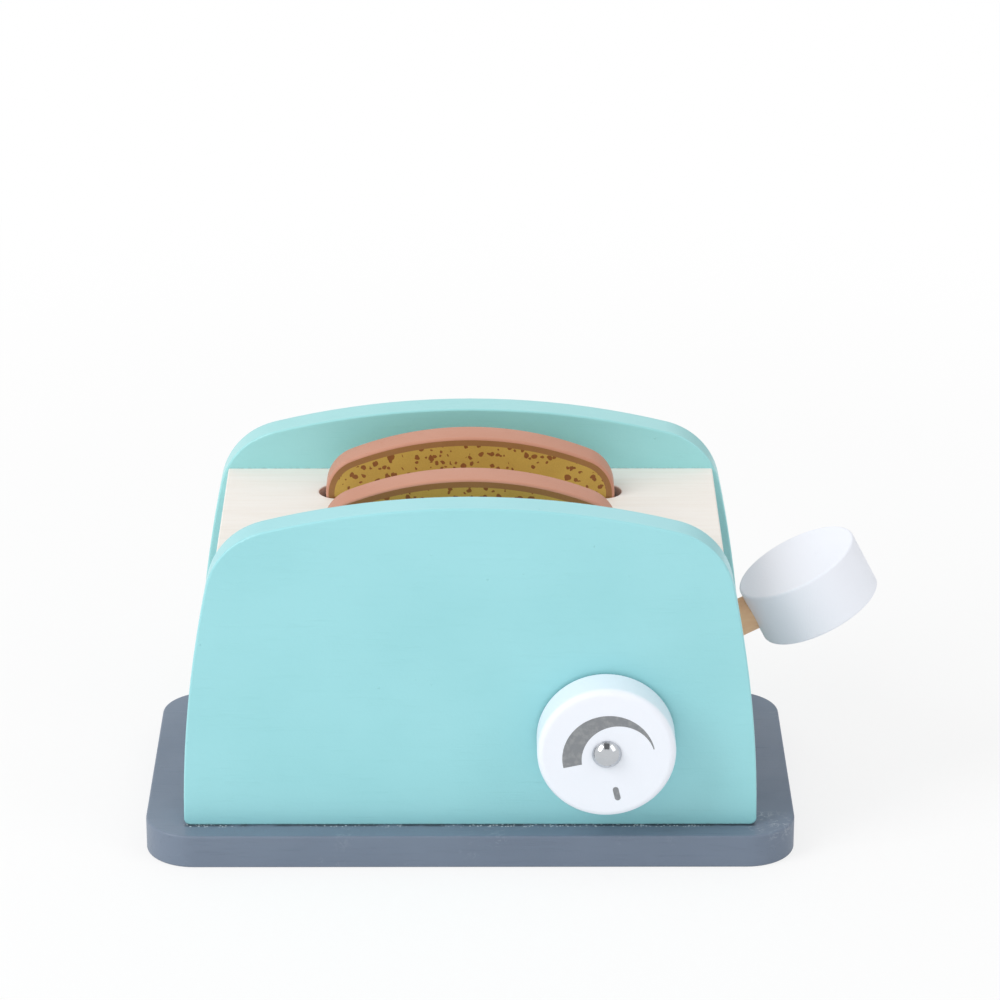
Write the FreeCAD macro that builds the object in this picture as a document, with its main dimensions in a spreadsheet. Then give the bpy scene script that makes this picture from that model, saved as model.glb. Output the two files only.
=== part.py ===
"""A wooden toy toaster as a parametric FreeCAD document, in millimetres.

The origin is on the table, under the middle of the toaster's body. +X points towards
the lever, -Y towards the dial and +Z up. The driving dimensions are in the sheet
"Sizes"; everything else is worked out from them by expressions.

How it works: the lever is a see-saw on a steel pin in the right end wall. Pressing the
knob raises the lift bar at its inner end, and the bar raises the lift board with the two
slices standing on it. The board runs on four upright dowels, and its weight brings the
lever back up.
"""
import FreeCAD, Part
import math
import os
import re
import Sketcher

SIZES = {
    # base board
    "base_width": 195.2,
    "base_depth": 104.0,
    "base_thickness": 10.4,
    "base_forward": 1.4,  # the board's middle lies this far in front of the body's
    "base_corner_radius": 15.0,
    "base_edge_round": 0.6,
    # front and back panels
    "panel_gap": 71.6,
    "panel_thickness": 10.0,
    "panel_width": 171.4,
    "panel_height": 102.2,
    "panel_side_radius": 367.0,
    "panel_shoulder_radius": 22.5,
    "panel_crown_radius": 248.4,
    "panel_foot_round": 2.0,
    "panel_edge_round": 0.6,
    # end walls and top plate
    "body_length": 150.0,
    "wall_thickness": 10.0,
    "plate_height": 82.6,  # top of the plate above the base board
    "plate_thickness": 10.0,
    "plate_edge_round": 0.5,
    "slot_spacing": 34.0,
    "slot_edge_round": 0.4,
    # glued dowels and the screws under the base
    "dowel_diameter": 6.0,
    "dowel_panel_depth": 7.0,
    "dowel_wall_depth": 14.0,
    "dowel_foot_space": 14.0,  # from an end wall's foot and head to the panels' dowels
    "dowel_head_space": 10.4,
    "plate_dowel_depth": 7.0,
    "plate_dowel_drop": 9.0,
    "joint_spacing": 24.0,
    "panel_screw_spacing": 100.0,
    "screw_head_diameter": 7.0,
    "screw_diameter": 3.5,
    "screw_length": 27.0,
    "screw_recess": 0.2,
    # slices of toast
    "slice_thickness": 10.0,
    "slice_foot_width": 71.2,
    "slice_flare": 1.63,  # degrees that each side leans out
    "slice_width": 88.0,
    "slice_shoulder_radius": 12.2,
    "slice_shoulder_height": 58.2,  # from the foot to the middle of the shoulder's round
    "slice_crown_height": 6.2,  # how far the crown arches above the shoulders
    "slice_neck_radius": 36.0,
    "slice_foot_round": 1.5,
    "slice_edge_round": 0.8,
    # lever
    "lever_tilt": 27.33,  # degrees, also the lever's travel, down to level
    "pin_diameter": 4.0,
    "arm_diameter": 11.0,
    "arm_end_round": 0.8,
    "knob_reach": 37.03,
    "knob_diameter": 38.4,
    "knob_thickness": 17.7,
    "knob_edge_round": 0.8,
    "knob_socket_depth": 14.0,
    "bar_reach": 60.9,
    "bar_overhang": 8.0,
    "bar_diameter": 6.0,
    "bar_length": 48.0,
    "rest_pad_length": 14.0,
    "rest_pad_width": 16.0,
    "rest_pad_height": 4.72,
    # lift board and its guide posts
    "board_length": 112.0,
    "board_depth": 54.0,
    "board_thickness": 12.0,
    "board_corner_radius": 4.0,
    "board_groove_depth": 3.5,
    "post_diameter": 6.0,
    "post_end_space": 6.0,  # from an end of the board to the middle of a post
    "post_socket_depth": 6.0,
    # dial on the front panel
    "dial_diameter": 41.0,
    "dial_thickness": 12.3,
    "dial_face_round": 2.0,
    "dial_back_round": 0.5,
    "dial_offset": 40.2,
    "dial_height": 29.7,
    "dial_screw_head_diameter": 8.7,
    "dial_screw_head_height": 2.8,
    "dial_screw_diameter": 4.0,
    "dial_screw_bite": 8.0,
    "dial_washer_diameter": 12.0,
    "dial_washer_thickness": 0.8,
    # room left where one piece passes through another
    "slot_end_space": 2.2,  # round a slice in its slot
    "slot_side_space": 1.0,
    "arm_slot_end_space": 1.7,  # round the lever's arm in the right end wall
    "arm_slot_side_space": 1.0,
    "fork_end_space": 2.5,  # round the lever's arm in the lift board's fork
    "fork_side_space": 1.5,
    "post_top_space": 5.0,  # of a guide post, above the lift board at its highest
    # clearances
    "glue_gap": 0.05,
    "running_gap": 0.1,
    "sliding_gap": 0.3,
    "seat_gap": 0.2,
    "groove_side_gap": 0.4,
    "groove_end_gap": 0.8,
}

DOC = FreeCAD.newDocument("ToyToaster")
SHEET = DOC.addObject("Spreadsheet::Sheet", "Sizes")
NAME = re.compile(r"[a-z]+(?:_[a-z]+)+")
UNSEEN = 1e-3
NODES = []


def fill_sheet():
    for row, (name, number) in enumerate(SIZES.items(), start=1):
        SHEET.set("A%d" % row, name)
        SHEET.set("B%d" % row, str(number))
        SHEET.setAlias("B%d" % row, name)
    DOC.recompute()


def linked(formula):
    """A formula in the sheet's names, written as FreeCAD expects it."""
    return NAME.sub(lambda word: "Sizes." + word.group(), formula)


def number(formula):
    """What a formula gives with the sheet's present values."""
    return float(SHEET.evalExpression(linked(formula)))


# ---------------------------------------------------------------- places shared by pieces

PANEL_INSIDE = "panel_gap / 2"
PANEL_MIDDLE = "(panel_gap + panel_thickness) / 2"
PANEL_OUTSIDE = "(panel_gap / 2 + panel_thickness)"
BODY_FOOT = "base_thickness"
PLATE_TOP = "(base_thickness + plate_height)"
PLATE_UNDER = "(base_thickness + plate_height - plate_thickness)"
WALL_HEIGHT = "(plate_height - plate_thickness)"
WALL_MIDDLE = "(body_length - wall_thickness) / 2"

SLOT_LINE = "slot_spacing / 2"
SLOT_LENGTH = "(slice_width + 2 * slot_end_space)"
SLOT_WIDTH = "(slice_thickness + 2 * slot_side_space)"

DOWEL_HOLE = "dowel_diameter / 2 + glue_gap"
DOWEL_LOW = "(base_thickness + dowel_foot_space)"
DOWEL_HIGH = "(%s - dowel_head_space)" % PLATE_UNDER
SCREW_HOLE = "screw_diameter / 2 + glue_gap"
SCREW_HOLE_DEPTH = "screw_recess + screw_length - base_thickness + seat_gap"
SCREW_HEAD_DEPTH = "(screw_head_diameter - screw_diameter) / 2"

ARM_INNER_REACH = "(bar_reach + bar_overhang)"
ARM_OUTER_REACH = "(knob_reach - knob_diameter / 2 + knob_socket_depth)"
ARM_DROP = "(%s * sin(lever_tilt) + arm_diameter / 2 * cos(lever_tilt))" % ARM_INNER_REACH
PIVOT_X = WALL_MIDDLE
PIVOT_Z = "(base_thickness + rest_pad_height + seat_gap + %s)" % ARM_DROP
ARM_END_X = "(%s - %s * cos(lever_tilt) + arm_diameter / 2 * sin(lever_tilt))" % (
    PIVOT_X, ARM_INNER_REACH)

LIFT = "(bar_reach * sin(lever_tilt))"
BAR_X = "(%s - bar_reach * cos(lever_tilt))" % PIVOT_X
BAR_Z = "(%s - %s)" % (PIVOT_Z, LIFT)
BOARD_UNDER = "(%s + bar_diameter / 2 + seat_gap)" % BAR_Z
BOARD_TOP = "(%s + board_thickness)" % BOARD_UNDER
FORK_ROOT = "(%s - %s - fork_end_space)" % (PIVOT_X, ARM_INNER_REACH)
SLICE_FOOT = "(%s - board_groove_depth + seat_gap)" % BOARD_TOP
POST_X = "(board_length / 2 - post_end_space)"
POST_FOOT = "(base_thickness - post_socket_depth + seat_gap)"
POST_TOP = "(%s + %s + post_top_space)" % (BOARD_TOP, LIFT)

DIAL_X = "dial_offset"
DIAL_Z = "(base_thickness + dial_height)"
WASHER_FACE = "(%s + dial_washer_thickness)" % PANEL_OUTSIDE
DIAL_BACK = "(%s + seat_gap)" % WASHER_FACE
DIAL_FACE = "(%s + dial_thickness)" % DIAL_BACK
DIAL_SHANK = "(dial_thickness + dial_washer_thickness + dial_screw_bite + 2 * seat_gap)"


# ---------------------------------------------------------------- helpers: placing, sketching

def place(thing, x="0", y="0", z="0", axis=None, angle=None):
    """Puts an object where formulas say, turned about an axis by an angle in degrees."""
    if axis is not None:
        turn = FreeCAD.Rotation(FreeCAD.Vector(*axis), number(angle))
        thing.Placement = FreeCAD.Placement(FreeCAD.Vector(), turn)
    for letter, formula in (("x", x), ("y", y), ("z", z)):
        thing.setExpression("Placement.Base." + letter, "(%s) * 1 mm" % linked(formula))
    if angle is not None and NAME.search(angle):
        thing.setExpression("Placement.Rotation.Angle", "%s * 1 deg" % linked(angle))


def new_body(name):
    body = DOC.addObject("PartDesign::Body", name + "_body")
    body.Label = name
    NODES.append(body)
    return body


def sketch_on(body, name, plane, offset="0"):
    """A sketch on one of the body's own planes, moved along that plane's normal.

    The normals are +Z for XY_Plane, -Y for XZ_Plane and +X for YZ_Plane.
    """
    flat = next(item for item in body.Origin.OriginFeatures if item.Role == plane)
    sketch = body.newObject("Sketcher::SketchObject", name)
    sketch.AttachmentSupport = (flat, [""])
    sketch.MapMode = "FlatFace"
    sketch.setExpression("AttachmentOffset.Base.z", "(%s) * 1 mm" % linked(offset))
    return sketch


def dimension(sketch, kind, where, name, formula):
    """A driving dimension that follows the sheet."""
    index = sketch.addConstraint(Sketcher.Constraint(kind, *where, number(formula)))
    sketch.renameConstraint(index, name)
    sketch.setExpression("Constraints." + name, linked(formula))


def fix_point(sketch, geometry, point, x, y, name):
    """Ties a point to a place measured from the sketch's origin."""
    for kind, formula, axis in (("DistanceX", x, -2), ("DistanceY", y, -1)):
        if formula == "0":
            sketch.addConstraint(Sketcher.Constraint("PointOnObject", geometry, point, axis))
        else:
            dimension(sketch, kind, (-1, 1, geometry, point), name + kind[-1], formula)


def line(start, end):
    return Part.LineSegment(FreeCAD.Vector(*start, 0), FreeCAD.Vector(*end, 0))


def circle(centre, radius):
    return Part.Circle(FreeCAD.Vector(*centre, 0), FreeCAD.Vector(0, 0, 1), radius)


def arc(centre, radius, start, end):
    """An arc that runs anticlockwise from one angle to the other, in radians."""
    return Part.ArcOfCircle(circle(centre, radius), start, end)


def join(sketch, pairs, kind="Coincident"):
    """Joins ends of neighbouring lines and arcs, each given as (geometry, point)."""
    for first, second in pairs:
        sketch.addConstraint(Sketcher.Constraint(kind, *first, *second))


def add_rectangle(sketch, width, height, x="0", y="0"):
    """A rectangle round a centre point."""
    half_w = number(width) / 2
    half_h = number(height) / 2
    cx = number(x)
    cy = number(y)
    corners = [(cx - half_w, cy - half_h), (cx + half_w, cy - half_h),
               (cx + half_w, cy + half_h), (cx - half_w, cy + half_h)]
    first = sketch.GeometryCount
    for index in range(4):
        sketch.addGeometry(line(corners[index], corners[(index + 1) % 4]))
    sides = [first + index for index in range(4)]
    join(sketch, [((sides[index], 2), (sides[(index + 1) % 4], 1)) for index in range(4)])
    for side in (sides[0], sides[2]):
        sketch.addConstraint(Sketcher.Constraint("Horizontal", side))
    for side in (sides[1], sides[3]):
        sketch.addConstraint(Sketcher.Constraint("Vertical", side))
    tag = "rect%d" % first
    dimension(sketch, "DistanceX", (sides[0], 1, sides[0], 2), tag + "_width", width)
    dimension(sketch, "DistanceY", (sides[1], 1, sides[1], 2), tag + "_height", height)
    left = "%s - (%s) / 2" % (x, width)
    low = "%s - (%s) / 2" % (y, height)
    fix_point(sketch, sides[0], 1, left, low, tag + "_corner")


def add_circle(sketch, radius, x="0", y="0"):
    index = sketch.addGeometry(circle((number(x), number(y)), number(radius)))
    dimension(sketch, "Radius", (index,), "circle%d_radius" % index, radius)
    fix_point(sketch, index, 3, x, y, "circle%d" % index)


def add_slot(sketch, length, width, x="0", y="0", upright=False):
    """A round-ended slot round a centre point, lying along X or standing upright."""
    radius = number(width) / 2
    reach = number(length) / 2 - radius
    cx = number(x)
    cy = number(y)
    along = (0, 1) if upright else (1, 0)
    start = 0.0 if upright else -math.pi / 2
    first = sketch.GeometryCount
    for sign in (1, -1):
        centre = (cx + sign * reach * along[0], cy + sign * reach * along[1])
        sketch.addGeometry(arc(centre, radius, start, start + math.pi))
        start += math.pi
    far, near = first, first + 1
    side, other_side = first + 2, first + 3
    for start_arc, end_arc in ((far, near), (near, far)):
        a = sketch.getPoint(start_arc, 2)
        b = sketch.getPoint(end_arc, 1)
        sketch.addGeometry(line((a.x, a.y), (b.x, b.y)))
    join(sketch, [((far, 2), (side, 1)), ((side, 2), (near, 1)),
                  ((near, 2), (other_side, 1)), ((other_side, 2), (far, 1))], "Tangent")
    sketch.addConstraint(Sketcher.Constraint("Equal", far, near))
    tag = "slot%d" % first
    dimension(sketch, "Radius", (far,), tag + "_radius", "(%s) / 2" % width)
    offset = "((%s) - (%s)) / 2" % (length, width)
    if upright:
        fix_point(sketch, far, 3, x, "%s + %s" % (y, offset), tag + "_far")
    else:
        fix_point(sketch, far, 3, "%s + %s" % (x, offset), y, tag + "_far")
    kind = "DistanceY" if upright else "DistanceX"
    dimension(sketch, kind, (near, 3, far, 3), tag + "_reach", "2 * " + offset)


# ---------------------------------------------------------------- helpers: solid features

def pad(body, name, sketch, length):
    DOC.recompute()
    feature = body.newObject("PartDesign::Pad", name)
    feature.Profile = sketch
    feature.setExpression("Length", linked(length))
    DOC.recompute()
    return feature


def pocket(body, name, sketch, depth=None, reversed_cut=False):
    """Cuts a sketch into the body, right through it where no depth is given."""
    DOC.recompute()
    before = body.Shape.Volume
    feature = body.newObject("PartDesign::Pocket", name)
    feature.Profile = sketch
    feature.Reversed = reversed_cut
    if depth is None:
        feature.Type = "ThroughAll"
    else:
        feature.setExpression("Length", linked(depth))
    DOC.recompute()
    if not body.Shape.Volume < before - UNSEEN:
        raise RuntimeError("%s cuts nothing from %s" % (name, body.Label))
    return feature


def revolve(body, name, sketch):
    """Turns a sketch about its own upright axis."""
    DOC.recompute()
    feature = body.newObject("PartDesign::Revolution", name)
    feature.Profile = sketch
    feature.ReferenceAxis = (sketch, ["V_Axis"])
    feature.Angle = 360
    DOC.recompute()
    return feature


def dress(body, kind, name, amount, formula, wanted):
    """A fillet or chamfer on every edge of the body that passes a test."""
    base = body.Tip
    names = ["Edge%d" % (index + 1)
             for index, edge in enumerate(base.Shape.Edges) if wanted(edge)]
    feature = body.newObject("PartDesign::" + kind, name)
    feature.Base = (base, names)
    feature.setExpression(amount, linked(formula))
    DOC.recompute()
    return feature


def fillet(body, name, radius, wanted):
    return dress(body, "Fillet", name, "Radius", radius, wanted)


def chamfer(body, name, size, wanted):
    return dress(body, "Chamfer", name, "Size", size, wanted)


def lies_at(axis, *places):
    """A test for edges that lie in a plane square to an axis."""
    levels = [number(item) for item in places]

    def test(edge):
        low = getattr(edge.BoundBox, axis + "Min")
        high = getattr(edge.BoundBox, axis + "Max")
        return any(abs(low - level) < UNSEEN and abs(high - level) < UNSEEN for level in levels)
    return test


def runs_along(axis):
    """A test for straight edges parallel to an axis."""
    others = [letter for letter in "XYZ" if letter != axis]

    def test(edge):
        box = edge.BoundBox
        return all(getattr(box, letter + "Length") < UNSEEN for letter in others)
    return test


# ---------------------------------------------------------------- helpers: rods and booleans

def rod(name, radius, length, x, y, z, towards):
    """A round rod from a place, along X, Y or Z."""
    turns = {"X": ((0, 1, 0), "90"), "Y": ((1, 0, 0), "-90"), "Z": ((0, 0, 1), "0")}
    thing = DOC.addObject("Part::Cylinder", name)
    thing.setExpression("Radius", linked(radius))
    thing.setExpression("Height", linked(length))
    axis, angle = turns[towards]
    place(thing, x, y, z, axis, angle)
    return thing


def box(name, length, width, height, x, y, z):
    thing = DOC.addObject("Part::Box", name)
    thing.setExpression("Length", linked(length))
    thing.setExpression("Width", linked(width))
    thing.setExpression("Height", linked(height))
    place(thing, x, y, z)
    return thing


def group(name, things):
    """Like pieces that share one node, each a solid of its own."""
    compound = DOC.addObject("Part::Compound", name + "_set")
    compound.Links = things
    compound.Label = name
    NODES.append(compound)
    return compound


# ---------------------------------------------------------------- base board

def screw_places():
    """Where the screws stand: two under each end wall and two under each panel."""
    places = []
    for end in ("-1", "1"):
        for side in ("-1", "1"):
            places.append(("%s * %s" % (end, WALL_MIDDLE), "%s * joint_spacing / 2" % side))
            places.append(("%s * panel_screw_spacing / 2" % end, "%s * %s" % (side, PANEL_MIDDLE)))
    return places


def post_places():
    """Where the four guide posts stand, in line with the slices."""
    return [("%s * %s" % (end, POST_X), "%s * %s" % (side, SLOT_LINE))
            for end in ("-1", "1") for side in ("-1", "1")]


def make_base():
    body = new_body("base_board")
    outline = sketch_on(body, "base_outline", "XY_Plane")
    add_rectangle(outline, "base_width", "base_depth", "0", "-base_forward")
    pad(body, "base_pad", outline, "base_thickness")
    fillet(body, "base_corners", "base_corner_radius", runs_along("Z"))
    fillet(body, "base_edges", "base_edge_round", lies_at("Z", "0", "base_thickness"))
    posts = sketch_on(body, "base_post_circles", "XY_Plane", BODY_FOOT)
    for x, y in post_places():
        add_circle(posts, "post_diameter / 2 + glue_gap", x, y)
    pocket(body, "base_post_sockets", posts, "post_socket_depth")
    screws = sketch_on(body, "base_screw_circles", "XY_Plane", BODY_FOOT)
    for x, y in screw_places():
        add_circle(screws, SCREW_HOLE, x, y)
    pocket(body, "base_screw_holes", screws)
    hole_radius = number(SCREW_HOLE)
    underside = lies_at("Z", "0")

    def is_screw_hole(edge):
        return underside(edge) and abs(edge.BoundBox.XLength / 2 - hole_radius) < UNSEEN
    chamfer(body, "base_countersinks", SCREW_HEAD_DEPTH + " + screw_recess", is_screw_hole)


def make_base_screws():
    """Countersunk wood screws that hold the body to the base board."""
    screws = []
    for index, (x, y) in enumerate(screw_places()):
        head = DOC.addObject("Part::Cone", "screw_head_%d" % index)
        head.setExpression("Radius1", linked("screw_head_diameter / 2"))
        head.setExpression("Radius2", linked("screw_diameter / 2"))
        head.setExpression("Height", linked(SCREW_HEAD_DEPTH))
        place(head, x, y, "screw_recess")
        shank = rod("screw_shank_%d" % index, "screw_diameter / 2", "screw_length",
                    x, y, "screw_recess", "Z")
        screw = DOC.addObject("Part::Fuse", "screw_%d" % index)
        screw.Base = head
        screw.Tool = shank
        screws.append(screw)
    group("base_screws", screws)


# ---------------------------------------------------------------- front and back panels

def draw_panel(sketch):
    """The bread-bin outline: bowed sides, round shoulders and a gently arched crown."""
    half = number("panel_width / 2")
    foot = number(BODY_FOOT)
    side = number("panel_side_radius")
    shoulder = number("panel_shoulder_radius")
    crown = number("panel_crown_radius")
    top = number("base_thickness + panel_height")
    side_centre = FreeCAD.Vector(half - side, foot, 0)
    crown_centre = FreeCAD.Vector(0, top - crown, 0)
    shoulder_centre = meeting_point(side_centre, side - shoulder, crown_centre, crown - shoulder)
    low = angle_to(side_centre, shoulder_centre)
    high = angle_to(crown_centre, shoulder_centre)
    straight = math.pi
    sketch.addGeometry([
        line((-half, foot), (half, foot)),
        arc((side_centre.x, foot), side, 0.0, low),
        arc((shoulder_centre.x, shoulder_centre.y), shoulder, low, high),
        arc((0, crown_centre.y), crown, high, straight - high),
        arc((-shoulder_centre.x, shoulder_centre.y), shoulder, straight - high, straight - low),
        arc((-side_centre.x, foot), side, straight - low, straight),
    ])
    join(sketch, [((0, 2), (1, 1)), ((5, 2), (0, 1))])
    join(sketch, [((index, 2), (index + 1, 1)) for index in (1, 2, 3, 4)], "Tangent")
    sketch.addConstraint(Sketcher.Constraint("Symmetric", 0, 1, 0, 2, -2))
    sketch.addConstraint(Sketcher.Constraint("PointOnObject", 1, 3, 0))
    sketch.addConstraint(Sketcher.Constraint("PointOnObject", 5, 3, 0))
    sketch.addConstraint(Sketcher.Constraint("PointOnObject", 3, 3, -2))
    sketch.addConstraint(Sketcher.Constraint("Equal", 1, 5))
    sketch.addConstraint(Sketcher.Constraint("Equal", 2, 4))
    dimension(sketch, "DistanceX", (0, 1, 0, 2), "foot_width", "panel_width")
    dimension(sketch, "DistanceY", (-1, 1, 0, 1), "foot_level", BODY_FOOT)
    dimension(sketch, "Radius", (1,), "side_radius", "panel_side_radius")
    dimension(sketch, "Radius", (2,), "shoulder_radius", "panel_shoulder_radius")
    dimension(sketch, "Radius", (3,), "crown_radius", "panel_crown_radius")
    add_apex(sketch, 3, "base_thickness + panel_height")


def add_apex(sketch, crown, level):
    """A construction point that holds the top of a crown arc at its level."""
    apex = sketch.addGeometry(Part.Point(FreeCAD.Vector(0, number(level), 0)), True)
    sketch.addConstraint(Sketcher.Constraint("PointOnObject", apex, 1, crown))
    sketch.addConstraint(Sketcher.Constraint("PointOnObject", apex, 1, -2))
    dimension(sketch, "DistanceY", (-1, 1, apex, 1), "apex_level", level)


def meeting_point(first, first_reach, second, second_reach):
    """Where two circles meet, on the right of the line from the second centre to the first."""
    gap = first - second
    apart = gap.Length
    along = (second_reach ** 2 - first_reach ** 2 + apart ** 2) / (2 * apart)
    across = math.sqrt(second_reach ** 2 - along ** 2)
    unit = gap / apart
    normal = FreeCAD.Vector(unit.y, -unit.x, 0)
    return second + unit * along + normal * across


def angle_to(start, end):
    return math.atan2(end.y - start.y, end.x - start.x)


def wall_dowel_places():
    """Places along X and Z of the dowels between a panel and the end walls' edges."""
    return [("%s * %s" % (end, WALL_MIDDLE), height)
            for end in ("-1", "1") for height in (DOWEL_LOW, DOWEL_HIGH)]


def make_panel(name, inside, outside, faces_back):
    """One panel; the places are how far its faces lie in front of the body's middle."""
    body = new_body(name)
    start = outside if faces_back else inside
    outline = sketch_on(body, name + "_outline", "XZ_Plane", start)
    draw_panel(outline)
    pad(body, name + "_pad", outline, "panel_thickness")
    foot = lies_at("Z", BODY_FOOT)
    across = runs_along("Y")
    fillet(body, name + "_foot", "panel_foot_round", lambda edge: foot(edge) and across(edge))
    faces = ["-1 * " + inside, "-1 * " + outside]
    fillet(body, name + "_edges", "panel_edge_round", lies_at("Y", *faces))
    dowels = sketch_on(body, name + "_dowel_circles", "XZ_Plane", inside)
    for x, z in wall_dowel_places():
        add_circle(dowels, DOWEL_HOLE, x, z)
    pocket(body, name + "_dowel_holes", dowels, "dowel_panel_depth", not faces_back)
    screws = sketch_on(body, name + "_screw_circles", "XY_Plane", BODY_FOOT)
    middle = PANEL_MIDDLE if faces_back else "-1 * " + PANEL_MIDDLE
    for end in ("-1", "1"):
        add_circle(screws, SCREW_HOLE, "%s * panel_screw_spacing / 2" % end, middle)
    pocket(body, name + "_screw_holes", screws, SCREW_HOLE_DEPTH, True)
    return body


def make_panels():
    front = make_panel("front_panel", PANEL_INSIDE, PANEL_OUTSIDE, False)
    pilot = sketch_on(front, "dial_screw_circle", "XZ_Plane", PANEL_OUTSIDE)
    add_circle(pilot, "dial_screw_diameter / 2 + glue_gap", DIAL_X, DIAL_Z)
    pocket(front, "dial_screw_hole", pilot, "dial_screw_bite + seat_gap")
    make_panel("back_panel", "-" + PANEL_INSIDE, "-" + PANEL_OUTSIDE, True)


def make_panel_dowels():
    """Glued dowels that join each panel to the edges of the end walls."""
    length = "dowel_panel_depth + dowel_wall_depth - 2 * seat_gap"
    starts = {"front_panel_dowels": "-1 * %s - dowel_panel_depth + seat_gap" % PANEL_INSIDE,
              "back_panel_dowels": "%s - dowel_wall_depth + seat_gap" % PANEL_INSIDE}
    for name, start in starts.items():
        dowels = [rod("%s_%d" % (name, index), "dowel_diameter / 2", length, x, start, z, "Y")
                  for index, (x, z) in enumerate(wall_dowel_places())]
        group(name, dowels)


# ---------------------------------------------------------------- end walls

def make_end_wall(name, end):
    """An upright board between the panels, under the end of the top plate."""
    body = new_body(name)
    outline = sketch_on(body, name + "_outline", "XY_Plane", BODY_FOOT)
    middle = "%s * %s" % (end, WALL_MIDDLE)
    add_rectangle(outline, "wall_thickness", "panel_gap", middle, "0")
    pad(body, name + "_pad", outline, WALL_HEIGHT)
    for side, sign, turned in (("front", "", False), ("back", "-1 * ", True)):
        holes = sketch_on(body, "%s_%s_circles" % (name, side), "XZ_Plane", sign + PANEL_INSIDE)
        for height in (DOWEL_LOW, DOWEL_HIGH):
            add_circle(holes, DOWEL_HOLE, middle, height)
        pocket(body, "%s_%s_holes" % (name, side), holes, "dowel_wall_depth", turned)
    ends = (("foot", BODY_FOOT, SCREW_HOLE, SCREW_HOLE_DEPTH, True),
            ("head", PLATE_UNDER, DOWEL_HOLE, "plate_dowel_drop", False))
    for tag, level, radius, depth, turned in ends:
        holes = sketch_on(body, "%s_%s_circles" % (name, tag), "XY_Plane", level)
        for side in ("-1", "1"):
            add_circle(holes, radius, middle, "%s * joint_spacing / 2" % side)
        pocket(body, "%s_%s_holes" % (name, tag), holes, depth, turned)
    return body


def make_end_walls():
    """Both end walls; the right one has the lever's slot and the hole for its pin."""
    make_end_wall("left_end_wall", "-1")
    right = make_end_wall("right_end_wall", "1")
    slot = sketch_on(right, "arm_slot_outline", "YZ_Plane", "body_length / 2")
    slanted = "arm_diameter / cos(lever_tilt) + wall_thickness * tan(lever_tilt)"
    height = slanted + " + 2 * arm_slot_end_space"
    add_slot(slot, height, "arm_diameter + 2 * arm_slot_side_space", "0", PIVOT_Z, True)
    pocket(right, "arm_slot", slot)
    pin = sketch_on(right, "pin_circle", "XZ_Plane", PANEL_INSIDE)
    add_circle(pin, "pin_diameter / 2 + glue_gap", PIVOT_X, PIVOT_Z)
    pocket(right, "pin_hole", pin)


# ---------------------------------------------------------------- top plate

def make_top_plate():
    """The plain wooden plate with the two slots for the slices."""
    body = new_body("top_plate")
    outline = sketch_on(body, "plate_outline", "XY_Plane", PLATE_UNDER)
    add_rectangle(outline, "body_length", "panel_gap")
    pad(body, "plate_pad", outline, "plate_thickness")
    slots = sketch_on(body, "slot_outlines", "XY_Plane", PLATE_TOP)
    for side in ("-1", "1"):
        add_slot(slots, SLOT_LENGTH, SLOT_WIDTH, "0", "%s * %s" % (side, SLOT_LINE))
    pocket(body, "slots", slots)
    top = lies_at("Z", PLATE_TOP)
    ends = lies_at("X", "-body_length / 2", "body_length / 2")
    sides = lies_at("Y", "-1 * " + PANEL_INSIDE, PANEL_INSIDE)
    fillet(body, "slot_edges", "slot_edge_round",
           lambda edge: top(edge) and not ends(edge) and not sides(edge))
    fillet(body, "plate_ends", "plate_edge_round", lambda edge: top(edge) and ends(edge))
    dowels = sketch_on(body, "plate_dowel_circles", "XY_Plane", PLATE_UNDER)
    for x, y in plate_dowel_places():
        add_circle(dowels, DOWEL_HOLE, x, y)
    pocket(body, "plate_dowel_holes", dowels, "plate_dowel_depth", True)


def plate_dowel_places():
    return [("%s * %s" % (end, WALL_MIDDLE), "%s * joint_spacing / 2" % side)
            for end in ("-1", "1") for side in ("-1", "1")]


def make_plate_dowels():
    """Glued dowels that hold the top plate down on the end walls."""
    start = "%s - plate_dowel_drop + seat_gap" % PLATE_UNDER
    length = "plate_dowel_drop + plate_dowel_depth - 2 * seat_gap"
    dowels = [rod("plate_dowel_%d" % index, "dowel_diameter / 2", length, x, y, start, "Z")
              for index, (x, y) in enumerate(plate_dowel_places())]
    group("plate_dowels", dowels)


# ---------------------------------------------------------------- guide posts and lift board

def make_guide_posts():
    """Upright dowels, glued in sockets in the base board, that the lift board runs on."""
    length = "%s - %s" % (POST_TOP, POST_FOOT)
    posts = [rod("guide_post_%d" % index, "post_diameter / 2", length, x, y, POST_FOOT, "Z")
             for index, (x, y) in enumerate(post_places())]
    group("left_guide_posts", posts[:2])
    group("right_guide_posts", posts[2:])


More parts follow.
